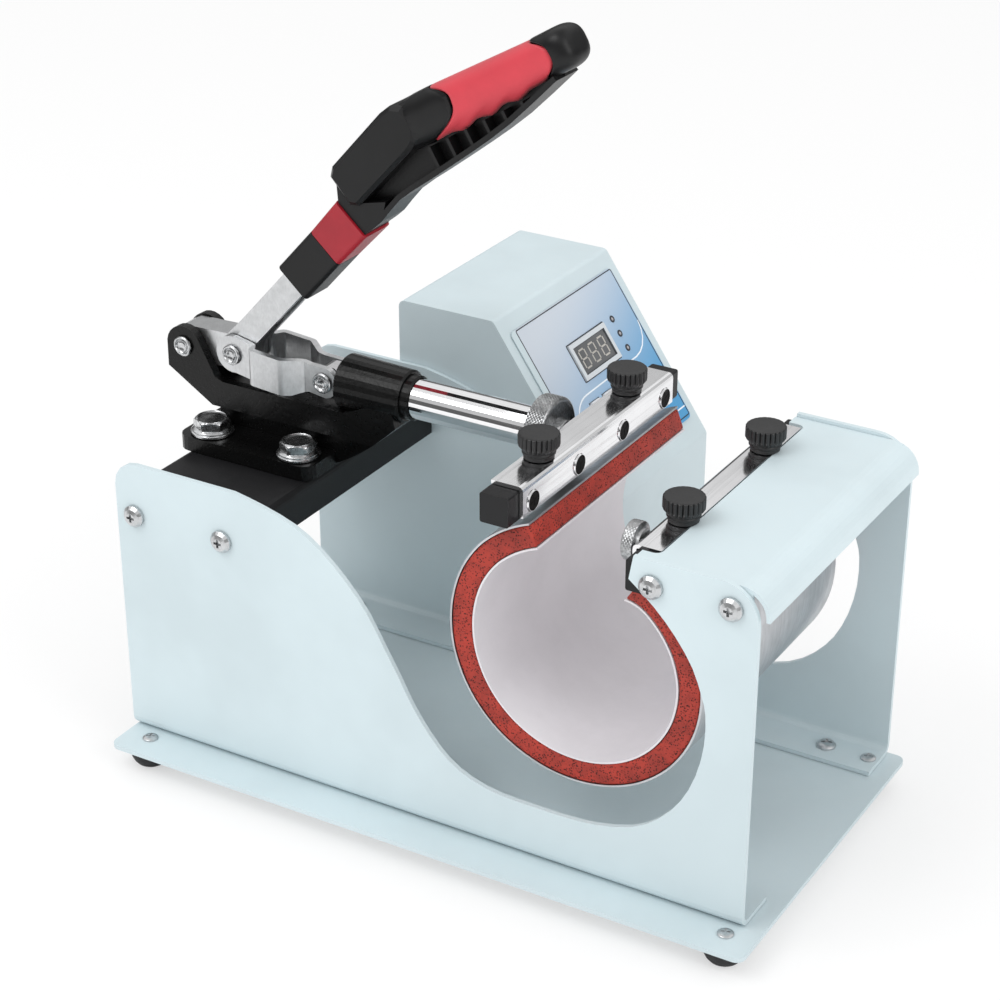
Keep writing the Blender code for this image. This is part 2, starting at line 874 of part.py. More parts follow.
def clamp_bridge():
    low_y, high_y = inner_span()
    front_x = bridge_rear_x + bridge_length
    low_z = bridge_top_z - bridge_depth
    section = rounded(((bridge_rear_x, low_z), (front_x, low_z), (front_x, bridge_top_z),
                       (bridge_rear_x, bridge_top_z)), (0.0, 0.0, bridge_bend, bridge_bend))
    bm = bmesh.new()
    prism(bm, [section], along_y, low_y, high_y)
    made = finish("clamp_bridge", bm, "black_coat")
    hollow = bmesh.new()
    block(hollow, (bridge_rear_x + bridge_sheet, low_y + bridge_sheet, low_z - overrun),
          (front_x - bridge_sheet, high_y - bridge_sheet, bridge_top_z - bridge_sheet))
    combine(made, hollow, "DIFFERENCE", "hollow")
    nuts = bmesh.new()
    for x, y in bolt_places():
        hexagon_block(nuts, (x, y, bridge_top_z - bridge_sheet / 2), (0.0, 0.0, -1.0),
                      bridge_sheet / 2 + nut_height, bolt_flats_radius)
    combine(made, nuts, "UNION", "weld_nuts")
    holes = bmesh.new()
    for x, y in bolt_places():
        rod(holes, (x, y, low_z), (0.0, 0.0, 1.0), bridge_depth + overrun, bolt_radius + seat_gap)
    for x in bridge_screw_x:
        for y, way in ((low_y - overrun, 1.0), (high_y + overrun, -1.0)):
            rod(holes, (x, y, bridge_screw_z), (0.0, way, 0.0), overrun + bridge_sheet + overrun,
                screw_radius + seat_gap)
    combine(made, holes, "DIFFERENCE", "holes")


def bolt_places():
    return [(x, centre_y + side * clamp_bolt_side) for x in clamp_bolt_x for side in (-1, 1)]


def top_cover():
    low_y, high_y = inner_span()
    cover_rear_x = post_rear_x - cover_rear_proud
    cover_front_x = plate_length + cover_front_proud
    notch_x = fixed_bar_rear_x + fixed_strip_flange - strip_sheet + seat_gap
    notch_half = inner_half - cover_notch_end
    middle = cover_sheet / 2
    path = bent_path(((cover_rear_x, cover_top_z - middle), (cover_front_x - middle, cover_top_z - middle),
                      (cover_front_x - middle, cover_top_z - cover_skirt)), cover_bend, corner_steps * 2)
    bm = bmesh.new()
    prism(bm, [sheet_outline(path, cover_sheet)], along_y, low_y, high_y)
    made = finish("top_cover", bm, "coat")
    tab_x = post_screw_x[1]
    for index, (near, far) in enumerate(((low_y, low_y + cover_sheet), (high_y - cover_sheet, high_y))):
        tab = bmesh.new()
        low = (tab_x - cover_tab_width / 2, cover_top_z - cover_tab_drop)
        high = (tab_x + cover_tab_width / 2, cover_top_z - middle)
        prism(tab, [rounded((low, (high[0], low[1]), high, (low[0], high[1])),
                            (cover_notch_corner, cover_notch_corner, 0.0, 0.0))], along_y, near, far)
        combine(made, tab, "UNION", "tab_" + str(index + 1))
    holes = bmesh.new()
    rod(holes, (tab_x, low_y - overrun, post_screw_z), (0.0, 1.0, 0.0),
        high_y - low_y + overrun + overrun, screw_radius + seat_gap)
    combine(made, holes, "DIFFERENCE", "screw_holes")
    notch = bmesh.new()
    rear = cover_rear_x - overrun
    outline = rounded(((rear, centre_y - notch_half), (notch_x, centre_y - notch_half),
                       (notch_x, centre_y + notch_half), (rear, centre_y + notch_half)),
                      (0.0, cover_notch_corner, cover_notch_corner, 0.0))
    prism(notch, [outline], along_z, cover_top_z - cover_sheet - overrun, cover_top_z + overrun)
    combine(made, notch, "DIFFERENCE", "notch")


def slope_frame():
    """Corner, unit vector down the sloped face, and its outward normal, seen along Y."""
    top = Vector((box_rear_x + box_slope_top, box_top_z))
    brow = Vector((box_rear_x + box_length, box_brow_z))
    down = (brow - top).normalized()
    return top, down, Vector((-down.y, down.x))


def slope_space(start, side, lift):
    """A point from its distance down the slope, across it and above it."""
    top, down, out = slope_frame()
    spot = top + down * start + out * lift
    return Vector((spot.x, box_near_y + side, spot.y))


def box_outline(inset):
    front_x = box_rear_x + box_length - inset
    low_z = -base_sheet + inset
    top, down, out = slope_frame()
    first = top - out * inset
    rise = (box_top_z - inset - first.y) / down.y
    upper = first + down * rise
    run = (front_x - first.x) / down.x
    lower = first + down * run
    return ((box_rear_x + inset, low_z), (front_x, low_z), tuple(lower), tuple(upper),
            (box_rear_x + inset, box_top_z - inset))


def control_box():
    edges = (0.0, 0.0, box_edge, box_edge, box_edge)
    bm = bmesh.new()
    prism(bm, [rounded(box_outline(0.0), edges)], along_y, box_near_y, box_far_y)
    made = finish("control_box", bm, "coat")
    hollow = bmesh.new()
    prism(hollow, [box_outline(box_sheet)], along_y, box_near_y + box_sheet, box_far_y + overrun)
    combine(made, hollow, "DIFFERENCE", "hollow")
    cuts = bmesh.new()
    panel_opening(cuts, window_start, window_side, window_length, window_width)
    for k in range(led_count):
        rod(cuts, slope_space(led_start + led_pitch * k, led_side, -box_sheet - overrun),
            slope_normal(), box_sheet + overrun + overrun, led_radius + seat_gap)
    for k in range(button_count):
        side = button_side + button_pitch * k
        panel_opening(cuts, button_start - button_length / 2, side - button_width / 2,
                      button_length, button_width)
    combine(made, cuts, "DIFFERENCE", "panel_openings")
    rear = bmesh.new()
    for side, z, width, height in rear_fittings():
        block(rear, (box_rear_x - overrun, side - width / 2 - seat_gap, z - height / 2 - seat_gap),
              (box_rear_x + box_sheet + overrun, side + width / 2 + seat_gap, z + height / 2 + seat_gap))
    rod(rear, (bridge_screw_x[1], box_near_y - overrun, bridge_screw_z), (0.0, 1.0, 0.0),
        overrun + box_sheet + overrun, screw_radius + seat_gap)
    combine(made, rear, "DIFFERENCE", "rear_openings")


def slope_normal():
    out = slope_frame()[2]
    return (out.x, 0.0, out.y)


def panel_opening(bm, start, side, length, width):
    rings = []
    for lift in (-box_sheet - overrun, overrun):
        rings.append([slope_space(start - seat_gap, side - seat_gap, lift),
                      slope_space(start + length + seat_gap, side - seat_gap, lift),
                      slope_space(start + length + seat_gap, side + width + seat_gap, lift),
                      slope_space(start - seat_gap, side + width + seat_gap, lift)])
    loft(bm, rings)


def rear_fittings():
    return ((box_near_y + box_depth * inlet_side_share, inlet_z, inlet_width - inlet_lip * 2,
             inlet_height - inlet_lip * 2),
            (box_near_y + box_depth * switch_side_share, switch_z, switch_width - switch_lip * 2,
             switch_height - switch_lip * 2))


def box_cover():
    """The removable wall on the side away from the side plate, with its vents."""
    inset = box_sheet + cover_inset
    outline = box_outline(inset)
    inner_y = box_far_y - box_sheet
    slots = []
    middle = box_rear_x + box_length / 2
    for k in range(vent_count):
        z = vent_base_z + vent_pitch * k
        slots.append(rectangle((middle - vent_length / 2, z), (middle + vent_length / 2, z + vent_height),
                               vent_height * vent_end_share, vent_end_steps))
    holes = [circle(place, screw_radius, small_steps) for place in cover_screw_places()]
    bm = bmesh.new()
    prism(bm, [outline] + slots + holes, along_y, inner_y, box_far_y)
    finish("box_cover", bm, "coat", smooth=False)


def cover_screw_places():
    reach = box_sheet + box_screw_inset
    return ((box_rear_x + reach, -base_sheet + reach),
            (box_rear_x + box_length - reach, -base_sheet + reach),
            (box_rear_x + reach, box_top_z - reach))


def panel_film():
    bm = bmesh.new()
    outer = rectangle((film_start, film_side), (film_end, box_depth - film_side), film_corner)
    holes = [rectangle((window_start - seat_gap, window_side - seat_gap),
                       (window_start + window_length + seat_gap, window_side + window_width + seat_gap))]
    for k in range(button_count):
        side = button_side + button_pitch * k
        low = (button_start - button_length / 2 - seat_gap, side - button_width / 2 - seat_gap)
        high = (button_start + button_length / 2 + seat_gap, side + button_width / 2 + seat_gap)
        holes.append(rectangle(low, high))
    prism(bm, [outer] + holes, slope_space, seat_gap, seat_gap + film_thickness)
    finish("panel_film", bm, "film", smooth=False)


def display_window():
    """A frame that stands over the film and a sunk pane, in one moulding through the panel."""
    start = window_start
    end = window_start + window_length
    low = window_side
    high = window_side + window_width
    top = seat_gap + film_thickness + window_rise
    bm = bmesh.new()
    levels = ((-window_depth, 0.0), (top, 0.0), (top, window_frame), (top - window_recess, window_frame))
    rings = []
    for lift, inset in levels:
        rings.append([slope_space(a, b, lift) for a, b in (
            (start + inset, low + inset), (end - inset, low + inset),
            (end - inset, high - inset), (start + inset, high - inset))])
    loft(bm, rings)
    finish("display_window", bm, "window", smooth=False)


def panel_buttons():
    top = seat_gap + film_thickness + button_rise
    for k in range(button_count):
        side = button_side + button_pitch * k
        outer = rectangle((button_start - button_length / 2, side - button_width / 2),
                          (button_start + button_length / 2, side + button_width / 2), button_corner)
        inner = rectangle((button_start - button_length / 2 + button_corner * centre_share,
                           side - button_width / 2 + button_corner * centre_share),
                          (button_start + button_length / 2 - button_corner * centre_share,
                           side + button_width / 2 - button_corner * centre_share), button_corner)
        rings = []
        edge = top - button_corner * centre_share
        for lift, outline in ((-button_stem, outer), (edge, outer), (top, inner)):
            rings.append([slope_space(a, b, lift) for a, b in outline])
        bm = bmesh.new()
        loft(bm, rings)
        finish("panel_button_" + str(k + 1), bm, "button",
               pivot=slope_space(button_start, side, 0.0))


def circuit_board():
    """Board behind the panel, with its larger parts below and three tall lamps above."""
    top = -box_sheet - board_gap
    low = (film_start, board_margin)
    high = (film_end - board_margin, box_depth - board_margin)
    bm = bmesh.new()
    prism(bm, [rectangle(low, high)], slope_space, top - board_thickness, top)
    made = finish("circuit_board", bm, "board", smooth=False)
    fitted = bmesh.new()
    inside = top - board_thickness * centre_share
    for (length, width, height), (a, b) in zip(chip_sizes, chip_place_shares):
        start = low[0] + (high[0] - low[0]) * a
        side = low[1] + (high[1] - low[1]) * b
        outline = rectangle((start - length / 2, side - width / 2), (start + length / 2, side + width / 2))
        prism(fitted, [outline], slope_space, top - board_thickness - height, inside)
    for k in range(led_count):
        rod(fitted, slope_space(led_start + led_pitch * k, led_side, inside), slope_normal(),
            -inside - seat_gap, led_radius, led_steps)
    combine(made, fitted, "UNION", "fitted")


def rear_panel_piece(bm, y, z, width, height, lip, rise, depth):
    """A body through the rear wall with a lip outside."""
    half_w = width / 2
    half_h = height / 2
    face = box_rear_x - seat_gap
    sections = ((box_rear_x + depth, lip), (face, lip), (face, 0.0), (face - rise * centre_share, 0.0),
                (face - rise, lip * lip_edge_share))
    rings = []
    for x, inset in sections:
        across = half_w - inset
        rise_half = half_h - inset
        rings.append([(x, y - across, z - rise_half), (x, y + across, z - rise_half),
                      (x, y + across, z + rise_half), (x, y - across, z + rise_half)])
    loft(bm, rings)


def power_inlet():
    y = box_near_y + box_depth * inlet_side_share
    bm = bmesh.new()
    rear_panel_piece(bm, y, inlet_z, inlet_width, inlet_height, inlet_lip, inlet_lip_rise, inlet_depth)
    made = finish("power_inlet", bm, "black_plastic", smooth=False)
    cavity = bmesh.new()
    half_w = inlet_width / 2 - inlet_lip - inlet_wall
    half_h = inlet_height / 2 - inlet_lip - inlet_wall
    key_half = half_w * inlet_key_share
    key_z = inlet_z + half_h * centre_share
    outline = [(y - half_w, inlet_z - half_h), (y + half_w, inlet_z - half_h), (y + half_w, key_z),
               (y + key_half, inlet_z + half_h), (y - key_half, inlet_z + half_h), (y - half_w, key_z)]
    prism(cavity, [outline], along_x, box_rear_x - overrun, box_rear_x + inlet_cavity)
    combine(made, cavity, "DIFFERENCE", "cavity")
    pins = bmesh.new()
    for side in (-1, 0, 1):
        rod(pins, (box_rear_x + inlet_cavity + overrun / 2, y + side * inlet_pin_pitch,
                   inlet_z + (1 - abs(side)) * inlet_pin_pitch * centre_share), (-1.0, 0.0, 0.0),
            inlet_cavity, inlet_pin_radius, led_steps)
    combine(made, pins, "UNION", "pins")


def switch_places():
    return box_near_y + box_depth * switch_side_share, switch_z


def power_switch():
    y, z = switch_places()
    bm = bmesh.new()
    rear_panel_piece(bm, y, z, switch_width, switch_height, switch_lip, switch_lip_rise, switch_depth)
    made = finish("power_switch", bm, "black_plastic", smooth=False)
    hollow = bmesh.new()
    half_w = switch_width / 2 - switch_lip - rocker_wall
    half_h = switch_height / 2 - switch_lip - rocker_wall
    floor_x = box_rear_x + switch_depth - rocker_wall - rocker_wall
    block(hollow, (box_rear_x - overrun, y - half_w, z - half_h), (floor_x, y + half_w, z + half_h))
    combine(made, hollow, "DIFFERENCE", "hollow")


def power_rocker():
    y, z = switch_places()
    half_w = switch_width / 2 - switch_lip - rocker_wall - rocker_gap
    half_h = switch_height / 2 - switch_lip - rocker_wall - rocker_gap
    face = box_rear_x - switch_lip_rise
    outline = ((face - rocker_rise, z + half_h), (face + rocker_shoulder, z + half_h),
               (face + rocker_root, z), (face + rocker_shoulder, z - half_h),
               (face, z - half_h), (face - rocker_dip, z))
    bm = bmesh.new()
    prism(bm, [outline], along_y, y - half_w, y + half_w)
    finish("power_rocker", bm, "black_plastic", pivot=(box_rear_x, y, z), smooth=False)


def clamp_base():
    """The casting: bolted foot, spine with two ears, and the guide barrel."""
    foot_z = bridge_top_z + seat_gap
    foot_top = foot_z + clamp_foot_thickness
    foot = rectangle((clamp_foot_rear_x, centre_y - clamp_foot_half),
                     (clamp_foot_rear_x + clamp_foot_length, centre_y + clamp_foot_half), clamp_foot_corner)
    bm = bmesh.new()
    prism(bm, [foot], along_z, foot_z, foot_top)
    made = finish("clamp_base", bm, "cast_black")

    ear = Vector(pivot_a)
    heel = Vector(ear_heel)
    spine = [(spine_rear_x, foot_z + seat_gap), ear_knee, tuple(heel)]
    spine += arc(ear, ear_radius, *ear_turn, ear_steps)
    spine += [ear_toe, (ear_toe[0] + overrun, saddle_z), (barrel_rear_x + overrun, saddle_z),
              (barrel_front_x - overrun, axis_z), (gusset_x + overrun, axis_z - barrel_front_radius)]
    start = Vector(spine[-1])
    end = Vector((spine_front_x, foot_z + seat_gap))
    bow = Vector((end.x + (start.x - end.x) * gusset_bow_share,
                  start.y - (start.y - end.y) * gusset_drop_share))
    for k in range(1, corner_steps * 2):
        t = k / (corner_steps * 2)
        spine.append(tuple(start * (1 - t) ** 2 + bow * 2 * t * (1 - t) + end * t * t))
    spine.append(tuple(end))
    body = bmesh.new()
    prism(body, [spine], along_y, centre_y - spine_half, centre_y + spine_half)
    wide = combine(made, body, "UNION", "spine")
    sides = bmesh.new()
    for side in (-1, 1):
        pocket = [(centre_y + side * a, b) for a, b in (
            (waist_half, foot_z - overrun), (spine_half + overrun, foot_z - overrun),
            (spine_half + overrun, waist_z), (spine_half, waist_z), (waist_half, waist_z - waist_slope))]
        prism(sides, [pocket], along_x, pivot_a[0] - ear_radius - overrun, collar_front_x)
    combine(wide, sides, "DIFFERENCE", "waist")

    barrel = bmesh.new()
    length = barrel_front_x - barrel_rear_x
    turn(barrel, (barrel_rear_x, centre_y, axis_z), (1.0, 0.0, 0.0), (
        (0.0, 0.0), (0.0, barrel_rear_radius - plunger_edge), (plunger_edge, barrel_rear_radius),
        (length - plunger_edge, barrel_front_radius), (length, barrel_front_radius - plunger_edge),
        (length, collar_radius), (collar_front_x - barrel_rear_x - plunger_edge, collar_radius),
        (collar_front_x - barrel_rear_x, collar_radius - plunger_edge),
        (collar_front_x - barrel_rear_x, 0.0)))
    combine(made, barrel, "UNION", "barrel")

    slot = bmesh.new()
    slot_low = saddle_z - saddle_groove
    block(slot, (pivot_a[0] - ear_radius - overrun, centre_y - ear_inner, slot_low),
          (barrel_rear_x - running_gap, centre_y + ear_inner, axis_z + ear_radius + overrun + overrun))
    combine(made, slot, "DIFFERENCE", "slot")
    holes = bmesh.new()
    for x, y in bolt_places():
        rod(holes, (x, y, foot_z - overrun), (0.0, 0.0, 1.0), clamp_foot_thickness + overrun + overrun,
            bolt_radius + seat_gap)
    rod(holes, (pivot_a[0], centre_y - spine_half - overrun, pivot_a[1]), (0.0, 1.0, 0.0),
        spine_half * 2 + overrun + overrun, pin_radius + seat_gap)
    rod(holes, (barrel_rear_x - overrun, centre_y, axis_z), (1.0, 0.0, 0.0),
        collar_front_x - barrel_rear_x + overrun + overrun, plunger_radius + bore_gap, round_steps)
    combine(made, holes, "DIFFERENCE", "holes")


def clamp_bolts():
    """Hexagon flange bolts with captive washers, one to each corner of the casting's foot."""
    seat = bridge_top_z + clamp_foot_thickness + seat_gap * 2
    reach = seat - bridge_top_z + bridge_sheet + nut_height + bolt_tail
    flange = washer_thickness + bolt_flange_rise
    head = flange + bolt_flange_rise
    top = head + bolt_head
    sections = (
        (-reach, bolt_radius - bolt_chamfer, False), (-reach + bolt_chamfer, bolt_radius, False),
        (0.0, bolt_radius, False), (0.0, washer_radius, False), (washer_thickness, washer_radius, False),
        (washer_thickness, bolt_flange_radius, False), (flange, bolt_flange_radius, False),
        (head, bolt_flats_radius, True), (top - bolt_chamfer, bolt_flats_radius, True),
        (top, bolt_flats_radius - bolt_chamfer, False))
    for index, (x, y) in enumerate(bolt_places()):
        rings = []
        for distance, radius, sided in sections:
            ring = []
            for k in range(bolt_steps):
                angle = tau * k / bolt_steps
                away = hexagon_reach(radius, angle + pi / 6) if sided else radius
                ring.append((x + away * cos(angle), y + away * sin(angle), seat + distance))
            rings.append(ring)
        bm = bmesh.new()
        loft(bm, rings)
        finish("clamp_bolt_" + str(index + 1), bm, "zinc")


def stem_point(distance, side):
    """A point at a distance up the stem of the lever, and to its upper left."""
    return (stem_start[0] + distance * cos(stem_angle) - side * sin(stem_angle),
            stem_start[1] + distance * sin(stem_angle) + side * cos(stem_angle))


def lever_arm():
    """Channel lever: two cheeks from the rear pivot past the link pivot, then up the stem."""
    a = Vector(pivot_a)
    b = Vector(pivot_b)
    half = lever_width / 2
    outline = arc(a, lever_boss_a, *lever_rear_turn, lever_rear_steps)
    outline += arc(b, lever_boss_b, *lever_front_turn, lever_front_steps)
    outline += [stem_point(0.0, -half), stem_point(stem_length, -half)]
    outline += [stem_point(stem_length, half), stem_point(half, half)]
    outline.append((b.x - lever_brow[0], b.y + lever_brow[1]))
    bm = bmesh.new()
    prism(bm, [outline], along_y, centre_y - lever_half, centre_y + lever_half)
    made = finish("lever_arm", bm, "zinc", pivot=(pivot_a[0], centre_y, pivot_a[1]))
    inside = bmesh.new()
    gap = lever_half - cheek_sheet
    inner_top = half - lever_web
    channel = [(a.x - lever_boss_a - overrun, a.y - lever_boss_a - overrun),
               (b.x + lever_boss_b + overrun, b.y - lever_boss_b - overrun),
               stem_point(-half, -lever_width - lever_width),
               stem_point(stem_length + overrun, -half - overrun),
               stem_point(stem_length + overrun, inner_top), stem_point(half, inner_top),
               (b.x - lever_brow_inner[0], b.y + lever_brow_inner[1]),
               (a.x - lever_boss_a - overrun, a.y + lever_rear_cut)]
    prism(inside, [channel], along_y, centre_y - gap, centre_y + gap)
    combine(made, inside, "DIFFERENCE", "channel")
    holes = bmesh.new()
    for x, z in (pivot_a, pivot_b):
        rod(holes, (x, centre_y - lever_half - overrun, z), (0.0, 1.0, 0.0),
            lever_half * 2 + overrun + overrun, pin_radius + seat_gap)
    combine(made, holes, "DIFFERENCE", "pin_holes")


def link_plan(side):
    """Path of the formed sheet from above, for the near (-1) or far (1) link."""
    half = link_sheet / 2
    start = pivot_b[0] - link_boss_b - overrun
    end = pivot_c[0] + link_boss_c + overrun
    path = ((start, link_inner_b + half), (pivot_b[0] + link_jog_b, link_inner_b + half),
            (pivot_b[0] + link_jog_b + link_jog_run, link_inner_mid + half),
            (pivot_c[0] - link_jog_c, link_inner_mid + half),
            (pivot_c[0] - link_jog_c + link_jog_c_run, link_inner_c + half), (end, link_inner_c + half))
    bent = bent_path(path, link_bend, link_bend_steps)
    outline = sheet_outline(bent, link_sheet)
    return [(x, centre_y + side * y) for x, y in outline]


def link_side_view():
    b = Vector(pivot_b)
    c = Vector(pivot_c)
    along = (c - b).normalized()
    tilt = atan2(along.y, along.x)
    across = Vector((-along.y, along.x))
    outline = arc(b, link_boss_b, tilt + link_turn, tilt + tau - link_turn, link_rear_steps)
    outline += [tuple(b + along * link_jog_b - across * link_waist),
                tuple(c - along * link_shoulder - across * link_waist),
                tuple(c - along * link_boss_c - across * link_chin)]
    outline += arc(c, link_boss_c, tilt - link_turn, tilt + link_turn, link_front_steps)
    outline += [tuple(c - along * link_boss_c + across * link_chin),
                tuple(c - along * link_shoulder + across * link_brow),
                tuple(b + along * link_jog_b + across * link_brow)]
    return outline


def links():
    for name, side in (("link_near", -1), ("link_far", 1)):
        bm = bmesh.new()
        low = pivot_c[1] - link_waist - overrun
        prism(bm, [link_plan(side)], along_z, low, pivot_b[1] + link_boss_b + overrun)
        made = finish(name, bm, "zinc", pivot=(pivot_b[0], centre_y, pivot_b[1]))
        view = bmesh.new()
        reach = link_inner_mid + link_sheet + overrun
        near, far = sorted((centre_y, centre_y + side * reach))
        prism(view, [link_side_view()], along_y, near, far)
        combine(made, view, "INTERSECT", "side_view")
        holes = bmesh.new()
        for x, z in (pivot_b, pivot_c):
            rod(holes, (x, near, z), (0.0, 1.0, 0.0), reach, pin_radius + seat_gap)
        combine(made, holes, "DIFFERENCE", "pin_holes")


def pin_head(profile, base, way):
    """Adds the points of a riveted head with its dimple, outward from the base distance."""
    shape = ((0.0, pin_radius), (0.0, pin_head_radius), (pin_head_rise * centre_share, pin_head_radius),
             (pin_head_rise, pin_crown_radius), (pin_head_rise, pin_dimple_radius),
             (pin_head_rise - pin_dimple_depth, 0.0))
    for distance, radius in (shape if way > 0 else shape[::-1]):
        profile.append((base + way * distance, radius))


def through_pin(name, place, half, body_pivot):
    """A pin with a riveted head at both ends."""
    base = half + seat_gap
    profile = []
    pin_head(profile, -base, -1)
    pin_head(profile, base, 1)
    bm = bmesh.new()
    turn(bm, (place[0], centre_y, place[1]), (0.0, 1.0, 0.0), profile, pin_steps)
    finish(name, bm, "zinc", pivot=body_pivot)


def front_pins():
    """Stub pins riveted in the front link ends; they stop just short of the tang."""
    for name, side in (("near", -1.0), ("far", 1.0)):
        profile = [(tang_half + seat_gap, 0.0), (tang_half + seat_gap, pin_radius)]
        pin_head(profile, link_inner_c + link_sheet + seat_gap, 1)
        bm = bmesh.new()
        turn(bm, (pivot_c[0], centre_y, pivot_c[1]), (0.0, side, 0.0), profile, pin_steps)
        finish("front_pin_" + name, bm, "zinc", pivot=(pivot_b[0], centre_y, pivot_b[1]))


def plunger():
    body_x = pivot_c[0] + tang_length
    length = plunger_front_x - body_x
    bm = bmesh.new()
    turn(bm, (body_x, centre_y, axis_z), (1.0, 0.0, 0.0), (
        (0.0, 0.0), (0.0, plunger_radius - plunger_edge), (plunger_edge, plunger_radius),
        (length - plunger_edge, plunger_radius), (length, plunger_radius - plunger_edge), (length, 0.0)))
    made = finish("plunger", bm, "chrome", pivot=(pivot_c[0], centre_y, axis_z))
    tang = bmesh.new()
    outline = arc(pivot_c, tang_height, pi / 2, pi + pi / 2, tang_steps)
    outline += [(body_x + overrun, pivot_c[1] - tang_height), (body_x + overrun, pivot_c[1] + tang_height)]
    prism(tang, [outline], along_y, centre_y - tang_half, centre_y + tang_half)
    combine(made, tang, "UNION", "tang")
    hole = bmesh.new()
    rod(hole, (pivot_c[0], centre_y - tang_half - overrun, pivot_c[1]), (0.0, 1.0, 0.0),
        (tang_half + overrun) * 2, pin_radius)
    combine(made, hole, "DIFFERENCE", "hole")


def adjuster():
    start = plunger_front_x + seat_gap
    bore = stud_radius + seat_gap
    bm = bmesh.new()
    steps = adjuster_ridges * 2
    turn(bm, (start, centre_y, axis_z), (1.0, 0.0, 0.0), (
        (0.0, 0.0), (0.0, adjuster_radius - adjuster_face_step), (adjuster_edge, adjuster_radius),
        (adjuster_width - adjuster_edge, adjuster_radius),
        (adjuster_width, adjuster_radius - adjuster_face_step), (adjuster_width, 0.0)), steps,
        (adjuster_radius, adjuster_ridge_depth, 2))
    made = finish("adjusting_nut", bm, "zinc", pivot=(start, centre_y, axis_z))
    hole = bmesh.new()
    rod(hole, (start - overrun, centre_y, axis_z), (1.0, 0.0, 0.0), adjuster_width + overrun + overrun, bore)
    combine(made, hole, "DIFFERENCE", "bore")
    stud = bmesh.new()
    end = bar_rear_x + bar_square - seat_gap - stud_radius
    rod(stud, (start, centre_y, axis_z), (1.0, 0.0, 0.0), end - start, stud_radius)
    finish("stud", stud, "zinc", pivot=(pivot_c[0], centre_y, axis_z))


def slider_pivot():
    return (pivot_c[0], centre_y, axis_z)


def moving_bar():
    low = (bar_rear_x, bar_top_z - bar_square)
    high = (bar_rear_x + bar_square, bar_top_z)
    bm = bmesh.new()
    half = inner_half - bar_end_gap
    section = rectangle(low, high, moving_bar_edge, small_corner_steps)
    prism(bm, [section], along_y, centre_y - half, centre_y + half)
    made = finish("moving_bar", bm, "black_coat", pivot=slider_pivot())
    holes = bmesh.new()
    rod(holes, (bar_rear_x - overrun, centre_y, axis_z), (1.0, 0.0, 0.0),
        overrun + bar_square - stud_radius + seat_gap, stud_radius + seat_gap)
    for side in (-1, 1):
        rod(holes, (moving_knob_x(), centre_y + side * knob_side, bar_top_z + overrun), (0.0, 0.0, -1.0),
            knob_stud_depth + overrun, knob_stud_radius + seat_gap)
        for reach in strip_screw_side:
            rod(holes, (bar_rear_x + bar_square + overrun, centre_y + side * reach, strip_screw_z()),
                (-1.0, 0.0, 0.0), strip_screw_depth + overrun, strip_screw_root + seat_gap)
    combine(made, holes, "DIFFERENCE", "holes")


def moving_knob_x():
    return bar_rear_x + bar_square / 2


def strip_screw_z():
    return bar_top_z + seat_gap - moving_strip_drop / 2


def angle_strip(bm, face_x, way, flange, top_z, drop):
    """A folded strip: flange on top of a bar and a wall down the face that looks along way."""
    half = strip_sheet / 2
    path = bent_path(((face_x - way * flange, top_z + half), (face_x + way * half, top_z + half),
                      (face_x + way * half, top_z + strip_sheet - drop)), strip_bend, strip_bend_steps)
    outline = sheet_outline(path, strip_sheet)
    length_half = inner_half - strip_end_gap
    prism(bm, [outline], along_y, centre_y - length_half, centre_y + length_half)


def strip_cuts(bm, x, top_z):
    """Openings for the knob studs through the flange."""
    for side in (-1, 1):
        rod(bm, (x, centre_y + side * knob_side, top_z - overrun), (0.0, 0.0, 1.0),
            overrun + strip_sheet + overrun, strip_slot_radius)


def moving_strip():
    face_x = bar_rear_x + bar_square + seat_gap
    top_z = bar_top_z + seat_gap
    bm = bmesh.new()
    angle_strip(bm, face_x, 1.0, bar_square, top_z, moving_strip_drop)
    made = finish("moving_strip", bm, "stainless", pivot=slider_pivot())
    cuts = bmesh.new()
    strip_cuts(cuts, moving_knob_x(), top_z)
    for side in (-1, 1):
        for reach in strip_screw_side:
            rod(cuts, (face_x - overrun, centre_y + side * reach, strip_screw_z()), (1.0, 0.0, 0.0),
                strip_sheet + overrun + overrun, strip_screw_radius + seat_gap)
    combine(made, cuts, "DIFFERENCE", "cuts")


def knob(name, x, y, seat_z):
    """A fluted thumb knob with its stud."""
    bm = bmesh.new()
    steps = knob_flutes * 2
    turn(bm, (x, y, seat_z + seat_gap), (0.0, 0.0, 1.0), (
        (-knob_stud_depth, 0.0), (-knob_stud_depth, knob_stud_radius), (0.0, knob_stud_radius),
        (0.0, knob_foot_radius), (knob_foot_height, knob_foot_radius), (knob_foot_height, knob_ring_radius),
        (knob_foot_height + knob_ring_height, knob_ring_radius), (knob_head_start, knob_top_radius),
        (knob_height - knob_edge, knob_top_radius), (knob_height, knob_top_radius - knob_edge),
        (knob_height, 0.0)), steps, (knob_top_radius, knob_flute_depth, 2))
    finish(name, bm, "black_plastic", pivot=(x, y, seat_z))


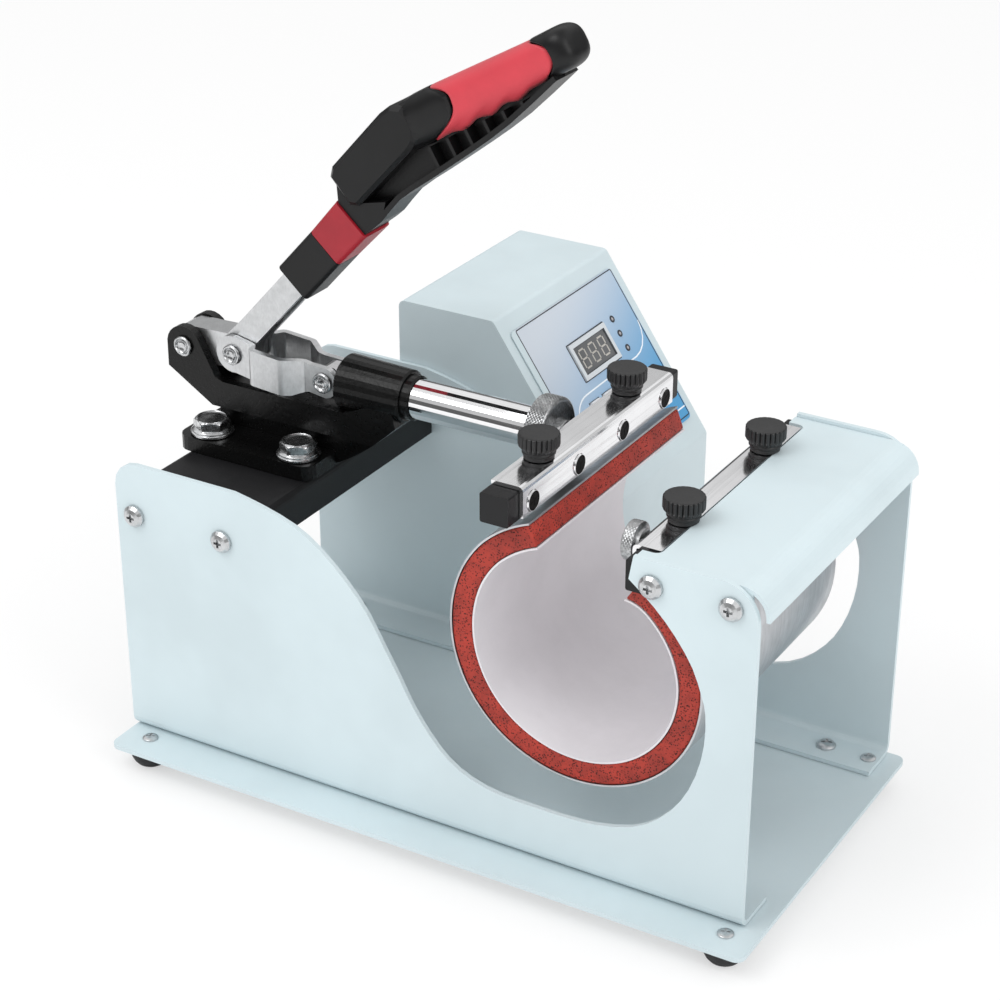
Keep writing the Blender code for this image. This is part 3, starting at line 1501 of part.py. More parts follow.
def fixed_bar():
    low_y, high_y = inner_span()
    top = cover_top_z - cover_sheet - seat_gap
    low = (fixed_bar_rear_x, top - fixed_bar_height)
    high = (fixed_bar_rear_x + fixed_bar_length_x, top)
    bm = bmesh.new()
    prism(bm, [rectangle(low, high, moving_bar_edge, small_corner_steps)], along_y, low_y, high_y)
    made = finish("fixed_bar", bm, "black_coat")
    holes = bmesh.new()
    for start, way in ((low_y - overrun, 1.0), (high_y + overrun, -1.0)):
        rod(holes, (post_screw_x[0], start, post_screw_z), (0.0, way, 0.0), screw_reach + overrun,
            screw_radius + seat_gap)
    for side in (-1, 1):
        rod(holes, (fixed_bar_rear_x + fixed_knob_x, centre_y + side * knob_side, top + overrun),
            (0.0, 0.0, -1.0), knob_stud_depth + overrun, knob_stud_radius + seat_gap)
    rod(holes, (fixed_bar_rear_x - overrun, stop_nut_y(), stop_nut_z), (1.0, 0.0, 0.0),
        overrun + stop_nut_radius + seat_gap, stop_stud_radius + seat_gap)
    combine(made, holes, "DIFFERENCE", "holes")


def fixed_strip():
    top_z = cover_top_z - cover_sheet
    face_x = fixed_bar_rear_x - seat_gap
    bm = bmesh.new()
    angle_strip(bm, face_x, -1.0, fixed_strip_flange - strip_sheet, top_z, fixed_strip_drop)
    made = finish("fixed_strip", bm, "stainless")
    cuts = bmesh.new()
    strip_cuts(cuts, fixed_bar_rear_x + fixed_knob_x, top_z)
    rod(cuts, (face_x - overrun, stop_nut_y(), stop_nut_z), (1.0, 0.0, 0.0), overrun * 2,
        stop_stud_radius + seat_gap)
    combine(made, cuts, "DIFFERENCE", "cuts")


def stop_nut():
    start = fixed_bar_rear_x - seat_gap - strip_sheet - seat_gap
    bm = bmesh.new()
    steps = knob_flutes * 2
    turn(bm, (start, stop_nut_y(), stop_nut_z), (-1.0, 0.0, 0.0), (
        (-stop_nut_radius, 0.0), (-stop_nut_radius, stop_stud_radius), (0.0, stop_stud_radius),
        (0.0, stop_nut_radius - stop_nut_edge), (stop_nut_edge, stop_nut_radius),
        (stop_nut_width - stop_nut_edge, stop_nut_radius), (stop_nut_width, stop_nut_radius - stop_nut_edge),
        (stop_nut_width, stop_stud_radius), (stop_nut_width + stop_stud_proud, stop_stud_radius),
        (stop_nut_width + stop_stud_proud, 0.0)), steps, (stop_nut_radius, stop_nut_ridge, 2))
    finish("stop_nut", bm, "zinc", pivot=(start, stop_nut_y(), stop_nut_z))


def mat_curve():
    points = []
    for angle, radius in mat_path:
        points.append((ring_centre[0] + radius * cos(radians(angle)),
                       ring_centre[1] + radius * sin(radians(angle))))
    return smooth_curve(points, mat_steps_between)


def mat_layer(name, slot, inner, outer):
    """One layer of the wrap, between two distances outward from the middle of the sponge."""
    curve = mat_curve()
    outline = offset_curve(curve, -inner) + offset_curve(curve, -outer)[::-1]
    bm = bmesh.new()
    rows = []
    half_width = inner_half - mat_end_gap
    for level in (centre_y - half_width, centre_y + half_width):
        rows.append([bm.verts.new(along_y(a, b, level)) for a, b in outline])
    count = len(outline)
    half = count // 2
    for index in range(half - 1):
        mirror = count - 1 - index
        for row in rows:
            bm.faces.new((row[index], row[index + 1], row[mirror - 1], row[mirror]))
    for index in range(count):
        following = (index + 1) % count
        bm.faces.new((rows[0][index], rows[0][following], rows[1][following], rows[1][index]))
    finish(name, bm, slot)


def heater_mat():
    half = sponge_thickness / 2
    mat_layer("mat_sponge", "silicone", -half, half)
    mat_layer("mat_liner", "liner", -half - layer_gap - liner_thickness, -half - layer_gap)
    mat_layer("mat_band", "band", half + layer_gap, half + layer_gap + band_thickness)


def lever_pivot():
    return (pivot_a[0], centre_y, pivot_a[1])


def stem_sleeve(bm, start, end, half_thick, half_width, flare):
    """A rounded block round the stem between two distances along it."""
    rings = []
    for distance, extra in ((start, 0.0), (end, flare)):
        thick = half_thick + extra
        width = half_width + extra
        outline = rectangle((-thick, -width), (thick, width), stem_corner)
        ring = []
        for side, across in outline:
            x, z = stem_point(distance, side)
            ring.append((x, centre_y + across, z))
        rings.append(ring)
    loft(bm, rings)


def stem_bore(bm, start, end):
    half = lever_width / 2 + seat_gap
    rings = []
    for distance in (start, end):
        ring = []
        for side, across in ((-half, -1), (half, -1), (half, 1), (-half, 1)):
            x, z = stem_point(distance, side)
            ring.append((x, centre_y + across * (lever_half + seat_gap), z))
        rings.append(ring)
    loft(bm, rings)


def grip_socket():
    bm = bmesh.new()
    stem_sleeve(bm, socket_start, socket_end, socket_half_thick, socket_half_width, 0.0)
    made = finish("grip_socket", bm, "black_plastic", pivot=lever_pivot())
    bore = bmesh.new()
    stem_bore(bore, socket_start - overrun, stem_length + seat_gap)
    combine(made, bore, "DIFFERENCE", "bore")
    bm = bmesh.new()
    stem_sleeve(bm, socket_end + seat_gap, collar_end, socket_half_thick, socket_half_width, collar_flare)
    finish("grip_collar", bm, "red_plastic", pivot=lever_pivot())


def grip_point(distance, side):
    """A point along the axis of the upper grip, and above it."""
    return (grip_axis[0] + distance * cos(grip_angle) - side * sin(grip_angle),
            grip_axis[1] + distance * sin(grip_angle) + side * cos(grip_angle))


def grip_section(distance, half, width, bow=(0.0, 0.0, 0.0), gap=0.0, opening=0.0):
    """A ring round the grip axis, between a circle and a rounded box; the bow bends it along the axis."""
    ring = []
    for k in range(sleeve_steps):
        angle = opening + (tau - opening * 2) * k / (sleeve_steps - 1 if opening else sleeve_steps)
        a = -cos(angle)
        b = sin(angle)
        side = half * abs(a) ** sleeve_squareness * (1 if a >= 0 else -1)
        across = width * abs(b) ** sleeve_squareness * (1 if b >= 0 else -1)
        x, z = grip_point(distance + gap + bow[0] + bow[1] * a + bow[2] * b * b, side)
        ring.append((x, centre_y + across, z))
    return ring


def crossing(distance):
    """How far below the grip axis the lower bar's outer edge lies, at a distance along the axis."""
    for first, second in zip(bar_outline, bar_outline[1:]):
        ends = []
        for x, z in (first, second):
            run = (x - grip_axis[0]) * cos(grip_angle) + (z - grip_axis[1]) * sin(grip_angle)
            drop = (x - grip_axis[0]) * sin(grip_angle) - (z - grip_axis[1]) * cos(grip_angle)
            ends.append((run, drop))
        (a, low), (b, high) = ends
        if distance >= a and distance <= b:
            return low + (high - low) * (distance - a) / (b - a)
    return 0.0


def grip_frame():
    """Black body: lobe, core under the sleeve, end cap, and a ribbed web with its lower edge."""
    core = seat_gap + sleeve_wall
    cap = sleeve_length + grip_cap_length
    rear = (sleeve_rear_half, sleeve_rear_width)
    front = (sleeve_front_half, sleeve_front_width)
    rear_core = (sleeve_rear_half - core, sleeve_rear_width - core)
    front_core = (sleeve_front_half - core, sleeve_front_width - core)
    rings = [grip_section(-shoulder_length, *rear),
             grip_section(0.0, *rear, sleeve_rear_bow, -sleeve_end_gap),
             grip_section(0.0, *rear_core, sleeve_rear_bow, -sleeve_end_gap),
             grip_section(sleeve_length, *front_core, sleeve_front_bow, sleeve_end_gap),
             grip_section(sleeve_length, *front, sleeve_front_bow, sleeve_end_gap)]
    for run_share, size_share in cap_shares:
        rings.append(grip_section(sleeve_length + grip_cap_length * run_share,
                                  sleeve_front_half * size_share, sleeve_front_width * size_share))
    bm = bmesh.new()
    loft(bm, rings)
    made = finish("grip_frame", bm, "black_plastic", pivot=lever_pivot())

    lobe = bmesh.new()
    pillow(lobe, lobe_outline, along_y, centre_y - lobe_half, centre_y + lobe_half, lobe_edge)
    combine(made, lobe, "UNION", "lobe")

    lower = smooth_curve(bar_outline, bar_steps)
    tip = grip_point(sleeve_length + grip_cap_length * centre_share, 0.0)
    start = stem_point(collar_end + seat_gap, -socket_half_thick + collar_flare)
    web = bmesh.new()
    prism(web, [[start, *lower, tip, grip_point(-shoulder_length * centre_share, 0.0), lobe_outline[-1]]],
          along_y, centre_y - web_half, centre_y + web_half)
    combine(made, web, "UNION", "web")

    edge = bmesh.new()
    band = lower + offset_curve(lower, bar_edge)[::-1]
    prism(edge, [band], along_y, centre_y - bar_half, centre_y + bar_half)
    combine(made, edge, "UNION", "lower_edge")

    neck = bmesh.new()
    outline = [stem_point(collar_end + seat_gap, socket_half_thick - collar_flare), start, *lower[:3],
               neck_top, lobe_outline[-1], (lobe_outline[0][0] + lobe_edge, lobe_outline[0][1])]
    prism(neck, [outline], along_y, centre_y - neck_half, centre_y + neck_half)
    combine(made, neck, "UNION", "neck")

    ribs = bmesh.new()
    for k in range(rib_count):
        distance = rib_first + rib_pitch * k
        top = sleeve_rear_half + seat_gap * 2
        bottom = crossing(distance) - bar_edge * centre_share
        outline = [grip_point(distance + along, -drop) for along, drop in (
            (-rib_sheet / 2, top), (rib_sheet / 2, top), (rib_sheet / 2, bottom), (-rib_sheet / 2, bottom))]
        if bottom - top > rib_sheet:
            prism(ribs, [outline], along_y, centre_y - rib_half, centre_y + rib_half)
    combine(made, ribs, "UNION", "ribs")


def grip_sleeve():
    """Soft cover on the core, slotted along the bottom for the web."""
    sections = []
    for wall in (0.0, sleeve_wall):
        for distance, half, width, bow in (
                (0.0, sleeve_rear_half, sleeve_rear_width, sleeve_rear_bow),
                (sleeve_length, sleeve_front_half, sleeve_front_width, sleeve_front_bow)):
            sections.append(grip_section(distance, half - wall, width - wall, bow, 0.0, sleeve_slot))
    bm = bmesh.new()
    outer_rear, outer_front, inner_rear, inner_front = [
        [bm.verts.new(point) for point in section] for section in sections]
    around = (outer_rear, outer_front, inner_front, inner_rear)
    for first, second in zip(around, around[1:] + around[:1]):
        for k in range(sleeve_steps - 1):
            bm.faces.new((first[k], first[k + 1], second[k + 1], second[k]))
    for k in (0, -1):
        bm.faces.new([row[k] for row in around])
    finish("grip_sleeve", bm, "red_soft", pivot=lever_pivot())


def stand():
    base_plate()
    feet()
    side_plate("near_side_plate", plate_setback, 1.0, plate_holes())
    side_plate("far_side_plate", far_face_y, -1.0, plate_holes())
    clamp_bridge()
    side_screws("bridge_screw", bridge_screw_x, bridge_screw_z)
    top_cover()
    side_screws("post_screw", post_screw_x, post_screw_z)


def electrics():
    control_box()
    box_cover()
    panel_film()
    display_window()
    panel_buttons()
    circuit_board()
    power_inlet()
    power_switch()
    power_rocker()


def clamp():
    clamp_base()
    clamp_bolts()
    lever_arm()
    links()
    through_pin("rear_pin", pivot_a, spine_half, lever_pivot())
    through_pin("link_pin", pivot_b, link_inner_b + link_sheet, lever_pivot())
    front_pins()
    plunger()
    adjuster()


def grip():
    grip_socket()
    grip_frame()
    grip_sleeve()


def mat_clamps():
    moving_bar()
    moving_strip()
    top = bar_top_z + seat_gap + strip_sheet
    fixed_top = cover_top_z - cover_sheet + strip_sheet
    for name, side in (("near", -1), ("far", 1)):
        knob("moving_knob_" + name, moving_knob_x(), centre_y + side * knob_side, top)
        knob("fixed_knob_" + name, fixed_bar_rear_x + fixed_knob_x, centre_y + side * knob_side, fixed_top)
    fixed_bar()
    fixed_strip()
    stop_nut()


clear_scene()
stand()
electrics()
clamp()
grip()
mat_clamps()
heater_mat()
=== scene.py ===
"""Looks of a mug heat press: finishes, heater mat, grip cover, panel print, small screws and the studio."""

from math import atan2, cos, pi, radians, sin, tau

import bmesh
import bpy
from bpy.props import FloatProperty, FloatVectorProperty, IntProperty, PointerProperty
from mathutils import Matrix, Vector


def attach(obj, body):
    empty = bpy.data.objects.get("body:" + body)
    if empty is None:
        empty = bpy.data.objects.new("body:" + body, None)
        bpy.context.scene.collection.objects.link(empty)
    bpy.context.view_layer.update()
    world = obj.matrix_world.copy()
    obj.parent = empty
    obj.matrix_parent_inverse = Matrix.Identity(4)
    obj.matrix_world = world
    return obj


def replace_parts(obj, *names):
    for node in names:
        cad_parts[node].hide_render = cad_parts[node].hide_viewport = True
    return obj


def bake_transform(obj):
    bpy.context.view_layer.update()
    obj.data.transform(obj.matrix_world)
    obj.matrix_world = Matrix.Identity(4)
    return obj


bl_info = {
    "name": "Mug Heat Press Looks",
    "version": (1, 0, 0),
    "blender": (4, 5, 0),
    "location": "View3D > Sidebar > Mug Press",
    "description": "Dresses the frame of a mug heat press and sets up a plain studio",
    "category": "Object",
}

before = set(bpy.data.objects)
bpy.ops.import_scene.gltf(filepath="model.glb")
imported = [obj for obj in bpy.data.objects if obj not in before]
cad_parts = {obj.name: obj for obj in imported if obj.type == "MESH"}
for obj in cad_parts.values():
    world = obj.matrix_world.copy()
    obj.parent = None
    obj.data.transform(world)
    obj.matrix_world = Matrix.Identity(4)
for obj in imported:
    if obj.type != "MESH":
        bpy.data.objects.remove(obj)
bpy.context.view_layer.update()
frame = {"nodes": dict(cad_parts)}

# from the frame's origin to the corner that the CAD source measures from, in metres
LAYOUT = Vector((0.1408, 0.13335, -0.0120))
CENTRE_Y = -0.04335
DOWN = Vector((0.0, 0.0, -1.0))
UP = Vector((0.0, 0.0, 1.0))

WHITE = (1.0, 1.0, 1.0)
COAT_DUST = (0.72, 0.71, 0.69)
PLASTIC_DUST = (0.45, 0.44, 0.43)

# sloped panel: top edge, the way down it, and its outward normal
SLOPE_TOP = Vector((-0.0468, 0.02995, 0.1693))
SLOPE_DOWN = Vector((0.568631, 0.0, -0.822593))
SLOPE_OUT = Vector((0.822593, 0.0, 0.568631))


def colour_prop(label, text, value):
    return FloatVectorProperty(name=label, description=text, default=value, size=3, min=0.0, max=1.0,
                               subtype="COLOR")


def length_prop(label, text, value):
    return FloatProperty(name=label, description=text, default=value, min=0.0, subtype="DISTANCE",
                         unit="LENGTH")


def share_prop(label, text, value):
    return FloatProperty(name=label, description=text, default=value, min=0.0, max=1.0, subtype="FACTOR")


class SheetMetalFinish(bpy.types.PropertyGroup):
    coat: colour_prop("Coat", "Light powder coat of the stand and the box", (0.605, 0.705, 0.738))
    coat_roughness: share_prop("Coat roughness", "How matt the powder coat is", 0.42)
    black: colour_prop("Black coat", "Satin black of the bridge and the bars", (0.009, 0.009, 0.010))
    grain: length_prop("Coat grain", "Width of one bump of the powder coat", 0.0009)


class MetalFinish(bpy.types.PropertyGroup):
    zinc: colour_prop("Zinc", "Bright plate on the lever, links and bolts", (0.70, 0.71, 0.72))
    steel: colour_prop("Stainless", "Sheet of the two clamp strips", (0.74, 0.74, 0.75))
    chrome: colour_prop("Chrome", "Polished plunger", (0.86, 0.86, 0.87))
    casting: colour_prop("Casting", "Gloss black paint of the clamp", (0.003, 0.003, 0.003))


class PlasticFinish(bpy.types.PropertyGroup):
    black: colour_prop("Black moulding", "Grip body and knobs", (0.007, 0.007, 0.0075))
    red: colour_prop("Red collar", "Collar on the lever", (0.36, 0.013, 0.025))
    soft_red: colour_prop("Red cover", "Soft cover of the grip", (0.62, 0.042, 0.062))
    rubber: colour_prop("Rubber", "Feet", (0.020, 0.020, 0.021))


class TurnedForm(bpy.types.PropertyGroup):
    flutes: IntProperty(name="Flutes", description="Flutes round a thumb knob", default=24, min=8, max=48)
    flute: length_prop("Flute depth", "Depth of a flute", 0.00085)
    rows: IntProperty(name="Knurl rows", description="Points round the adjusting nut", default=58, min=12,
                      max=120)
    knurl: length_prop("Knurl depth", "Depth of the knurl", 0.00060)
    pitch: length_prop("Knurl pitch", "Distance between two points of the knurl", 0.0014)


class CoverForm(bpy.types.PropertyGroup):
    length: length_prop("Length", "Length of the soft cover", 0.0568)
    wall: length_prop("Wall", "Thickness of the soft cover", 0.0021)
    wave: length_prop("Wave", "Height of the finger grooves below", 0.0015)
    pitch: length_prop("Wave pitch", "Distance between two finger grooves", 0.0135)


class MatForm(bpy.types.PropertyGroup):
    sponge: colour_prop("Sponge", "Silicone sponge of the heater mat", (0.420, 0.032, 0.017))
    speck: colour_prop("Pores", "Dark pores of the sponge", (0.050, 0.008, 0.006))
    liner: colour_prop("Liner", "Smooth film inside the mat", (0.720, 0.695, 0.720))
    edge: length_prop("Edge", "Rounding of the sponge's long edges", 0.0009)
    steps: IntProperty(name="Steps", description="Divisions round the mat", default=96, min=24, max=240)


class PanelPrint(bpy.types.PropertyGroup):
    top: colour_prop("Top colour", "Print colour at the upper near corner", (0.60, 0.655, 0.72))
    low: colour_prop("Low colour", "Print colour at the lower far corner", (0.085, 0.330, 0.600))
    line: colour_prop("Line", "Thin dark outline", (0.030, 0.035, 0.045))
    field: colour_prop("Field line", "Pale line round the buttons", (0.85, 0.90, 0.95))
    frame: colour_prop("Frame", "Pale frame of the display", (0.62, 0.66, 0.69))
    pane: colour_prop("Pane", "Grey pane of the display", (0.155, 0.160, 0.165))
    width: length_prop("Line width", "Width of the dark outline", 0.00050)


class Fasteners(bpy.types.PropertyGroup):
    head: length_prop("Head radius", "Radius of a pan head", 0.0042)
    rise: length_prop("Head height", "Height of a pan head", 0.0022)
    steps: IntProperty(name="Steps", description="Divisions round a head", default=32, min=12, max=96)


class StudioSetup(bpy.types.PropertyGroup):
    floor: colour_prop("Floor", "Plain pale floor", (0.92, 0.92, 0.92))
    key: FloatProperty(name="Key light", description="Power of the large soft light", default=9.0, min=0.0,
                       subtype="POWER", unit="POWER")
    fill: FloatProperty(name="Fill light", description="Power of the side light", default=5.0, min=0.0,
                        subtype="POWER", unit="POWER")
    world: FloatProperty(name="Surroundings", description="Strength of the even light", default=0.95, min=0.0)
    even: share_prop("Soft light", "Brightness of the surroundings for rough surfaces", 0.97)
    lens: FloatProperty(name="Lens", description="Focal length in millimetres", default=87.66, min=10.0)


def settings(name):
    return getattr(bpy.context.scene, name)


# materials


def new_material(name):
    made = bpy.data.materials.new(name)
    made.use_nodes = True
    return made, made.node_tree, made.node_tree.nodes["Principled BSDF"]


def add(tree, kind, values=None, **options):
    made = tree.nodes.new(kind)
    for key, value in options.items():
        setattr(made, key, value)
    for key, value in (values or {}).items():
        made.inputs[key].default_value = value
    return made


def join(tree, source, target):
    tree.links.new(source, target)


def rgba(colour):
    return (colour[0], colour[1], colour[2], 1.0)


def shade(colour, share):
    return tuple(min(1.0, part * share) for part in colour[:3])


def start_group(name, inputs, outputs):
    tree = bpy.data.node_groups.new(name, "ShaderNodeTree")
    for label, kind, value in inputs:
        socket = tree.interface.new_socket(label, in_out="INPUT", socket_type=kind)
        socket.default_value = value
    for label, kind in outputs:
        tree.interface.new_socket(label, in_out="OUTPUT", socket_type=kind)
    return tree, tree.nodes.new("NodeGroupInput"), tree.nodes.new("NodeGroupOutput")


def grain_group():
    """Even fine bumps, as on powder coat and moulded plastic."""
    tree, entry, leave = start_group(
        "Fine grain", (("Scale", "NodeSocketFloat", 900.0), ("Detail", "NodeSocketFloat", 3.0)),
        (("Height", "NodeSocketFloat"), ("Mask", "NodeSocketFloat")))
    place = add(tree, "ShaderNodeTexCoord")
    noise = add(tree, "ShaderNodeTexNoise", {"Roughness": 0.55})
    cells = add(tree, "ShaderNodeTexVoronoi", feature="SMOOTH_F1")
    both = add(tree, "ShaderNodeMath", operation="MULTIPLY_ADD")
    both.inputs[1].default_value = 0.6
    join(tree, place.outputs["Object"], noise.inputs["Vector"])
    join(tree, place.outputs["Object"], cells.inputs["Vector"])
    join(tree, entry.outputs["Scale"], noise.inputs["Scale"])
    join(tree, entry.outputs["Scale"], cells.inputs["Scale"])
    join(tree, entry.outputs["Detail"], noise.inputs["Detail"])
    join(tree, cells.outputs["Distance"], both.inputs[0])
    join(tree, noise.outputs["Fac"], both.inputs[2])
    join(tree, both.outputs[0], leave.inputs["Height"])
    join(tree, noise.outputs["Fac"], leave.inputs["Mask"])
    return tree


def drift_group():
    """A colour that wanders slightly over a large surface."""
    tree, entry, leave = start_group(
        "Colour drift", (("Colour", "NodeSocketColor", (0.5, 0.5, 0.5, 1.0)),
                         ("Other", "NodeSocketColor", (0.4, 0.4, 0.4, 1.0)),
                         ("Scale", "NodeSocketFloat", 14.0), ("Share", "NodeSocketFloat", 0.5)),
        (("Colour", "NodeSocketColor"),))
    place = add(tree, "ShaderNodeTexCoord")
    noise = add(tree, "ShaderNodeTexNoise", {"Detail": 4.0, "Roughness": 0.6})
    ease = add(tree, "ShaderNodeMapRange", {"From Min": 0.35, "From Max": 0.65},
               interpolation_type="SMOOTHSTEP")
    amount = add(tree, "ShaderNodeMath", operation="MULTIPLY")
    mix = add(tree, "ShaderNodeMix", data_type="RGBA")
    join(tree, place.outputs["Object"], noise.inputs["Vector"])
    join(tree, entry.outputs["Scale"], noise.inputs["Scale"])
    join(tree, noise.outputs["Fac"], ease.inputs["Value"])
    join(tree, ease.outputs["Result"], amount.inputs[0])
    join(tree, entry.outputs["Share"], amount.inputs[1])
    join(tree, amount.outputs[0], mix.inputs["Factor"])
    join(tree, entry.outputs["Colour"], mix.inputs["A"])
    join(tree, entry.outputs["Other"], mix.inputs["B"])
    join(tree, mix.outputs["Result"], leave.inputs["Colour"])
    return tree


def dust_group():
    """A faint mask of dust on faces that look up."""
    tree, entry, leave = start_group("Settled dust", (("Amount", "NodeSocketFloat", 0.1),),
                                     (("Mask", "NodeSocketFloat"),))
    place = add(tree, "ShaderNodeTexCoord")
    surface = add(tree, "ShaderNodeNewGeometry")
    split = add(tree, "ShaderNodeSeparateXYZ")
    facing = add(tree, "ShaderNodeMapRange", {"From Min": 0.4, "From Max": 1.0})
    noise = add(tree, "ShaderNodeTexNoise", {"Scale": 160.0, "Detail": 6.0, "Roughness": 0.7})
    ease = add(tree, "ShaderNodeMapRange", {"From Min": 0.45, "From Max": 0.75})
    both = add(tree, "ShaderNodeMath", operation="MULTIPLY")
    amount = add(tree, "ShaderNodeMath", operation="MULTIPLY")
    join(tree, surface.outputs["Normal"], split.inputs[0])
    join(tree, split.outputs["Z"], facing.inputs["Value"])
    join(tree, place.outputs["Object"], noise.inputs["Vector"])
    join(tree, noise.outputs["Fac"], ease.inputs["Value"])
    join(tree, facing.outputs["Result"], both.inputs[0])
    join(tree, ease.outputs["Result"], both.inputs[1])
    join(tree, both.outputs[0], amount.inputs[0])
    join(tree, entry.outputs["Amount"], amount.inputs[1])
    join(tree, amount.outputs[0], leave.inputs["Mask"])
    return tree


def scratch_group():
    """Thin lines drawn out along one way, as rolling and wiping leave them."""
    tree, entry, leave = start_group(
        "Drawn lines", (("Stretch", "NodeSocketVector", (900.0, 30.0, 900.0)),
                        ("Low", "NodeSocketFloat", 0.45), ("High", "NodeSocketFloat", 0.75)),
        (("Mask", "NodeSocketFloat"), ("Height", "NodeSocketFloat")))
    place = add(tree, "ShaderNodeTexCoord")
    stretch = add(tree, "ShaderNodeMapping")
    noise = add(tree, "ShaderNodeTexNoise", {"Scale": 1.0, "Detail": 3.0, "Roughness": 0.6})
    ease = add(tree, "ShaderNodeMapRange")
    join(tree, place.outputs["Object"], stretch.inputs["Vector"])
    join(tree, entry.outputs["Stretch"], stretch.inputs["Scale"])
    join(tree, stretch.outputs["Vector"], noise.inputs["Vector"])
    join(tree, noise.outputs["Fac"], ease.inputs["Value"])
    join(tree, entry.outputs["Low"], ease.inputs["From Min"])
    join(tree, entry.outputs["High"], ease.inputs["From Max"])
    join(tree, ease.outputs["Result"], leave.inputs["Mask"])
    join(tree, noise.outputs["Fac"], leave.inputs["Height"])
    return tree


def pore_group():
    """Scattered dark specks of uneven size."""
    tree, entry, leave = start_group(
        "Open pores", (("Scale", "NodeSocketFloat", 900.0), ("Share", "NodeSocketFloat", 0.3)),
        (("Mask", "NodeSocketFloat"), ("Height", "NodeSocketFloat")))
    place = add(tree, "ShaderNodeTexCoord")
    cells = add(tree, "ShaderNodeTexVoronoi", {"Randomness": 1.0})
    noise = add(tree, "ShaderNodeTexNoise", {"Detail": 3.0, "Roughness": 0.7})
    pick = add(tree, "ShaderNodeMath", operation="MULTIPLY")
    ease = add(tree, "ShaderNodeMapRange", {"From Min": 0.44, "From Max": 0.24})
    patch = add(tree, "ShaderNodeMapRange", {"From Min": 0.38, "From Max": 0.50})
    both = add(tree, "ShaderNodeMath", operation="MULTIPLY")
    high = add(tree, "ShaderNodeMath", operation="SUBTRACT")
    high.inputs[0].default_value = 1.0
    join(tree, place.outputs["Object"], cells.inputs["Vector"])
    join(tree, place.outputs["Object"], noise.inputs["Vector"])
    join(tree, entry.outputs["Scale"], cells.inputs["Scale"])
    join(tree, entry.outputs["Scale"], pick.inputs[0])
    join(tree, entry.outputs["Share"], pick.inputs[1])
    join(tree, pick.outputs[0], noise.inputs["Scale"])
    join(tree, cells.outputs["Distance"], ease.inputs["Value"])
    join(tree, noise.outputs["Fac"], patch.inputs["Value"])
    join(tree, ease.outputs["Result"], both.inputs[0])
    join(tree, patch.outputs["Result"], both.inputs[1])
    join(tree, both.outputs[0], leave.inputs["Mask"])
    join(tree, both.outputs[0], high.inputs[1])
    join(tree, high.outputs[0], leave.inputs["Height"])
    return tree


GROUPS = {}


def effect(tree, maker, values=None):
    """Places one of the shared effects in a material, building it on first use."""
    if maker.__name__ not in GROUPS:
        GROUPS[maker.__name__] = maker()
    made = tree.nodes.new("ShaderNodeGroup")
    made.node_tree = GROUPS[maker.__name__]
    for key, value in (values or {}).items():
        made.inputs[key].default_value = value
    return made


def drifting(tree, colour, other, scale):
    """A colour that wanders toward a darker share of itself."""
    made = effect(tree, drift_group, {"Colour": rgba(colour), "Other": rgba(shade(colour, other)),
                                      "Scale": scale, "Share": 1.0})
    return made.outputs["Colour"]


def mixed(tree, factor, low, high):
    """One colour over another by a mask; each is an output or a plain colour."""
    made = add(tree, "ShaderNodeMix", data_type="RGBA")
    join(tree, factor, made.inputs["Factor"])
    for side, colour in (("A", low), ("B", high)):
        if isinstance(colour, bpy.types.NodeSocket):
            join(tree, colour, made.inputs[side])
        else:
            made.inputs[side].default_value = rgba(colour)
    return made.outputs["Result"]


def bump(tree, shader, height, strength, distance):
    made = add(tree, "ShaderNodeBump", {"Strength": strength, "Distance": distance})
    join(tree, height, made.inputs["Height"])
    join(tree, made.outputs["Normal"], shader.inputs["Normal"])


def spread(tree, source, low, high, target):
    """Feeds a mask to a socket, between two values."""
    ease = add(tree, "ShaderNodeMapRange", {"To Min": low, "To Max": high})
    join(tree, source, ease.inputs["Value"])
    join(tree, ease.outputs["Result"], target)


def coated(name, colour, roughness, grain, drift=0.92, dust=0.06, depth=0.00004, gloss=0.42):
    """Powder-coated sheet."""
    made, tree, shader = new_material(name)
    settled = effect(tree, dust_group, {"Amount": dust})
    colours = mixed(tree, settled.outputs["Mask"], drifting(tree, colour, drift, 9.0), COAT_DUST)
    join(tree, colours, shader.inputs["Base Color"])
    fine = effect(tree, grain_group, {"Scale": 1.0 / grain})
    spread(tree, fine.outputs["Mask"], roughness - 0.06, roughness + 0.10, shader.inputs["Roughness"])
    bump(tree, shader, fine.outputs["Height"], 0.35, depth)
    shader.inputs["Specular IOR Level"].default_value = gloss
    return made


def plated(name, colour, roughness, stretch, other=0.80, depth=0.00002, patch=60.0):
    """Metal sheet or turned metal with drawn lines and faint patches."""
    made, tree, shader = new_material(name)
    lines = effect(tree, scratch_group, {"Stretch": stretch})
    amount = add(tree, "ShaderNodeMath", operation="MULTIPLY")
    amount.inputs[1].default_value = 0.5
    join(tree, lines.outputs["Mask"], amount.inputs[0])
    colours = mixed(tree, amount.outputs[0], drifting(tree, colour, other, patch),
                    shade(colour, other * 0.86))
    join(tree, colours, shader.inputs["Base Color"])
    spread(tree, lines.outputs["Mask"], roughness, roughness + 0.16, shader.inputs["Roughness"])
    bump(tree, shader, lines.outputs["Height"], 0.25, depth)
    shader.inputs["Metallic"].default_value = 1.0
    return made


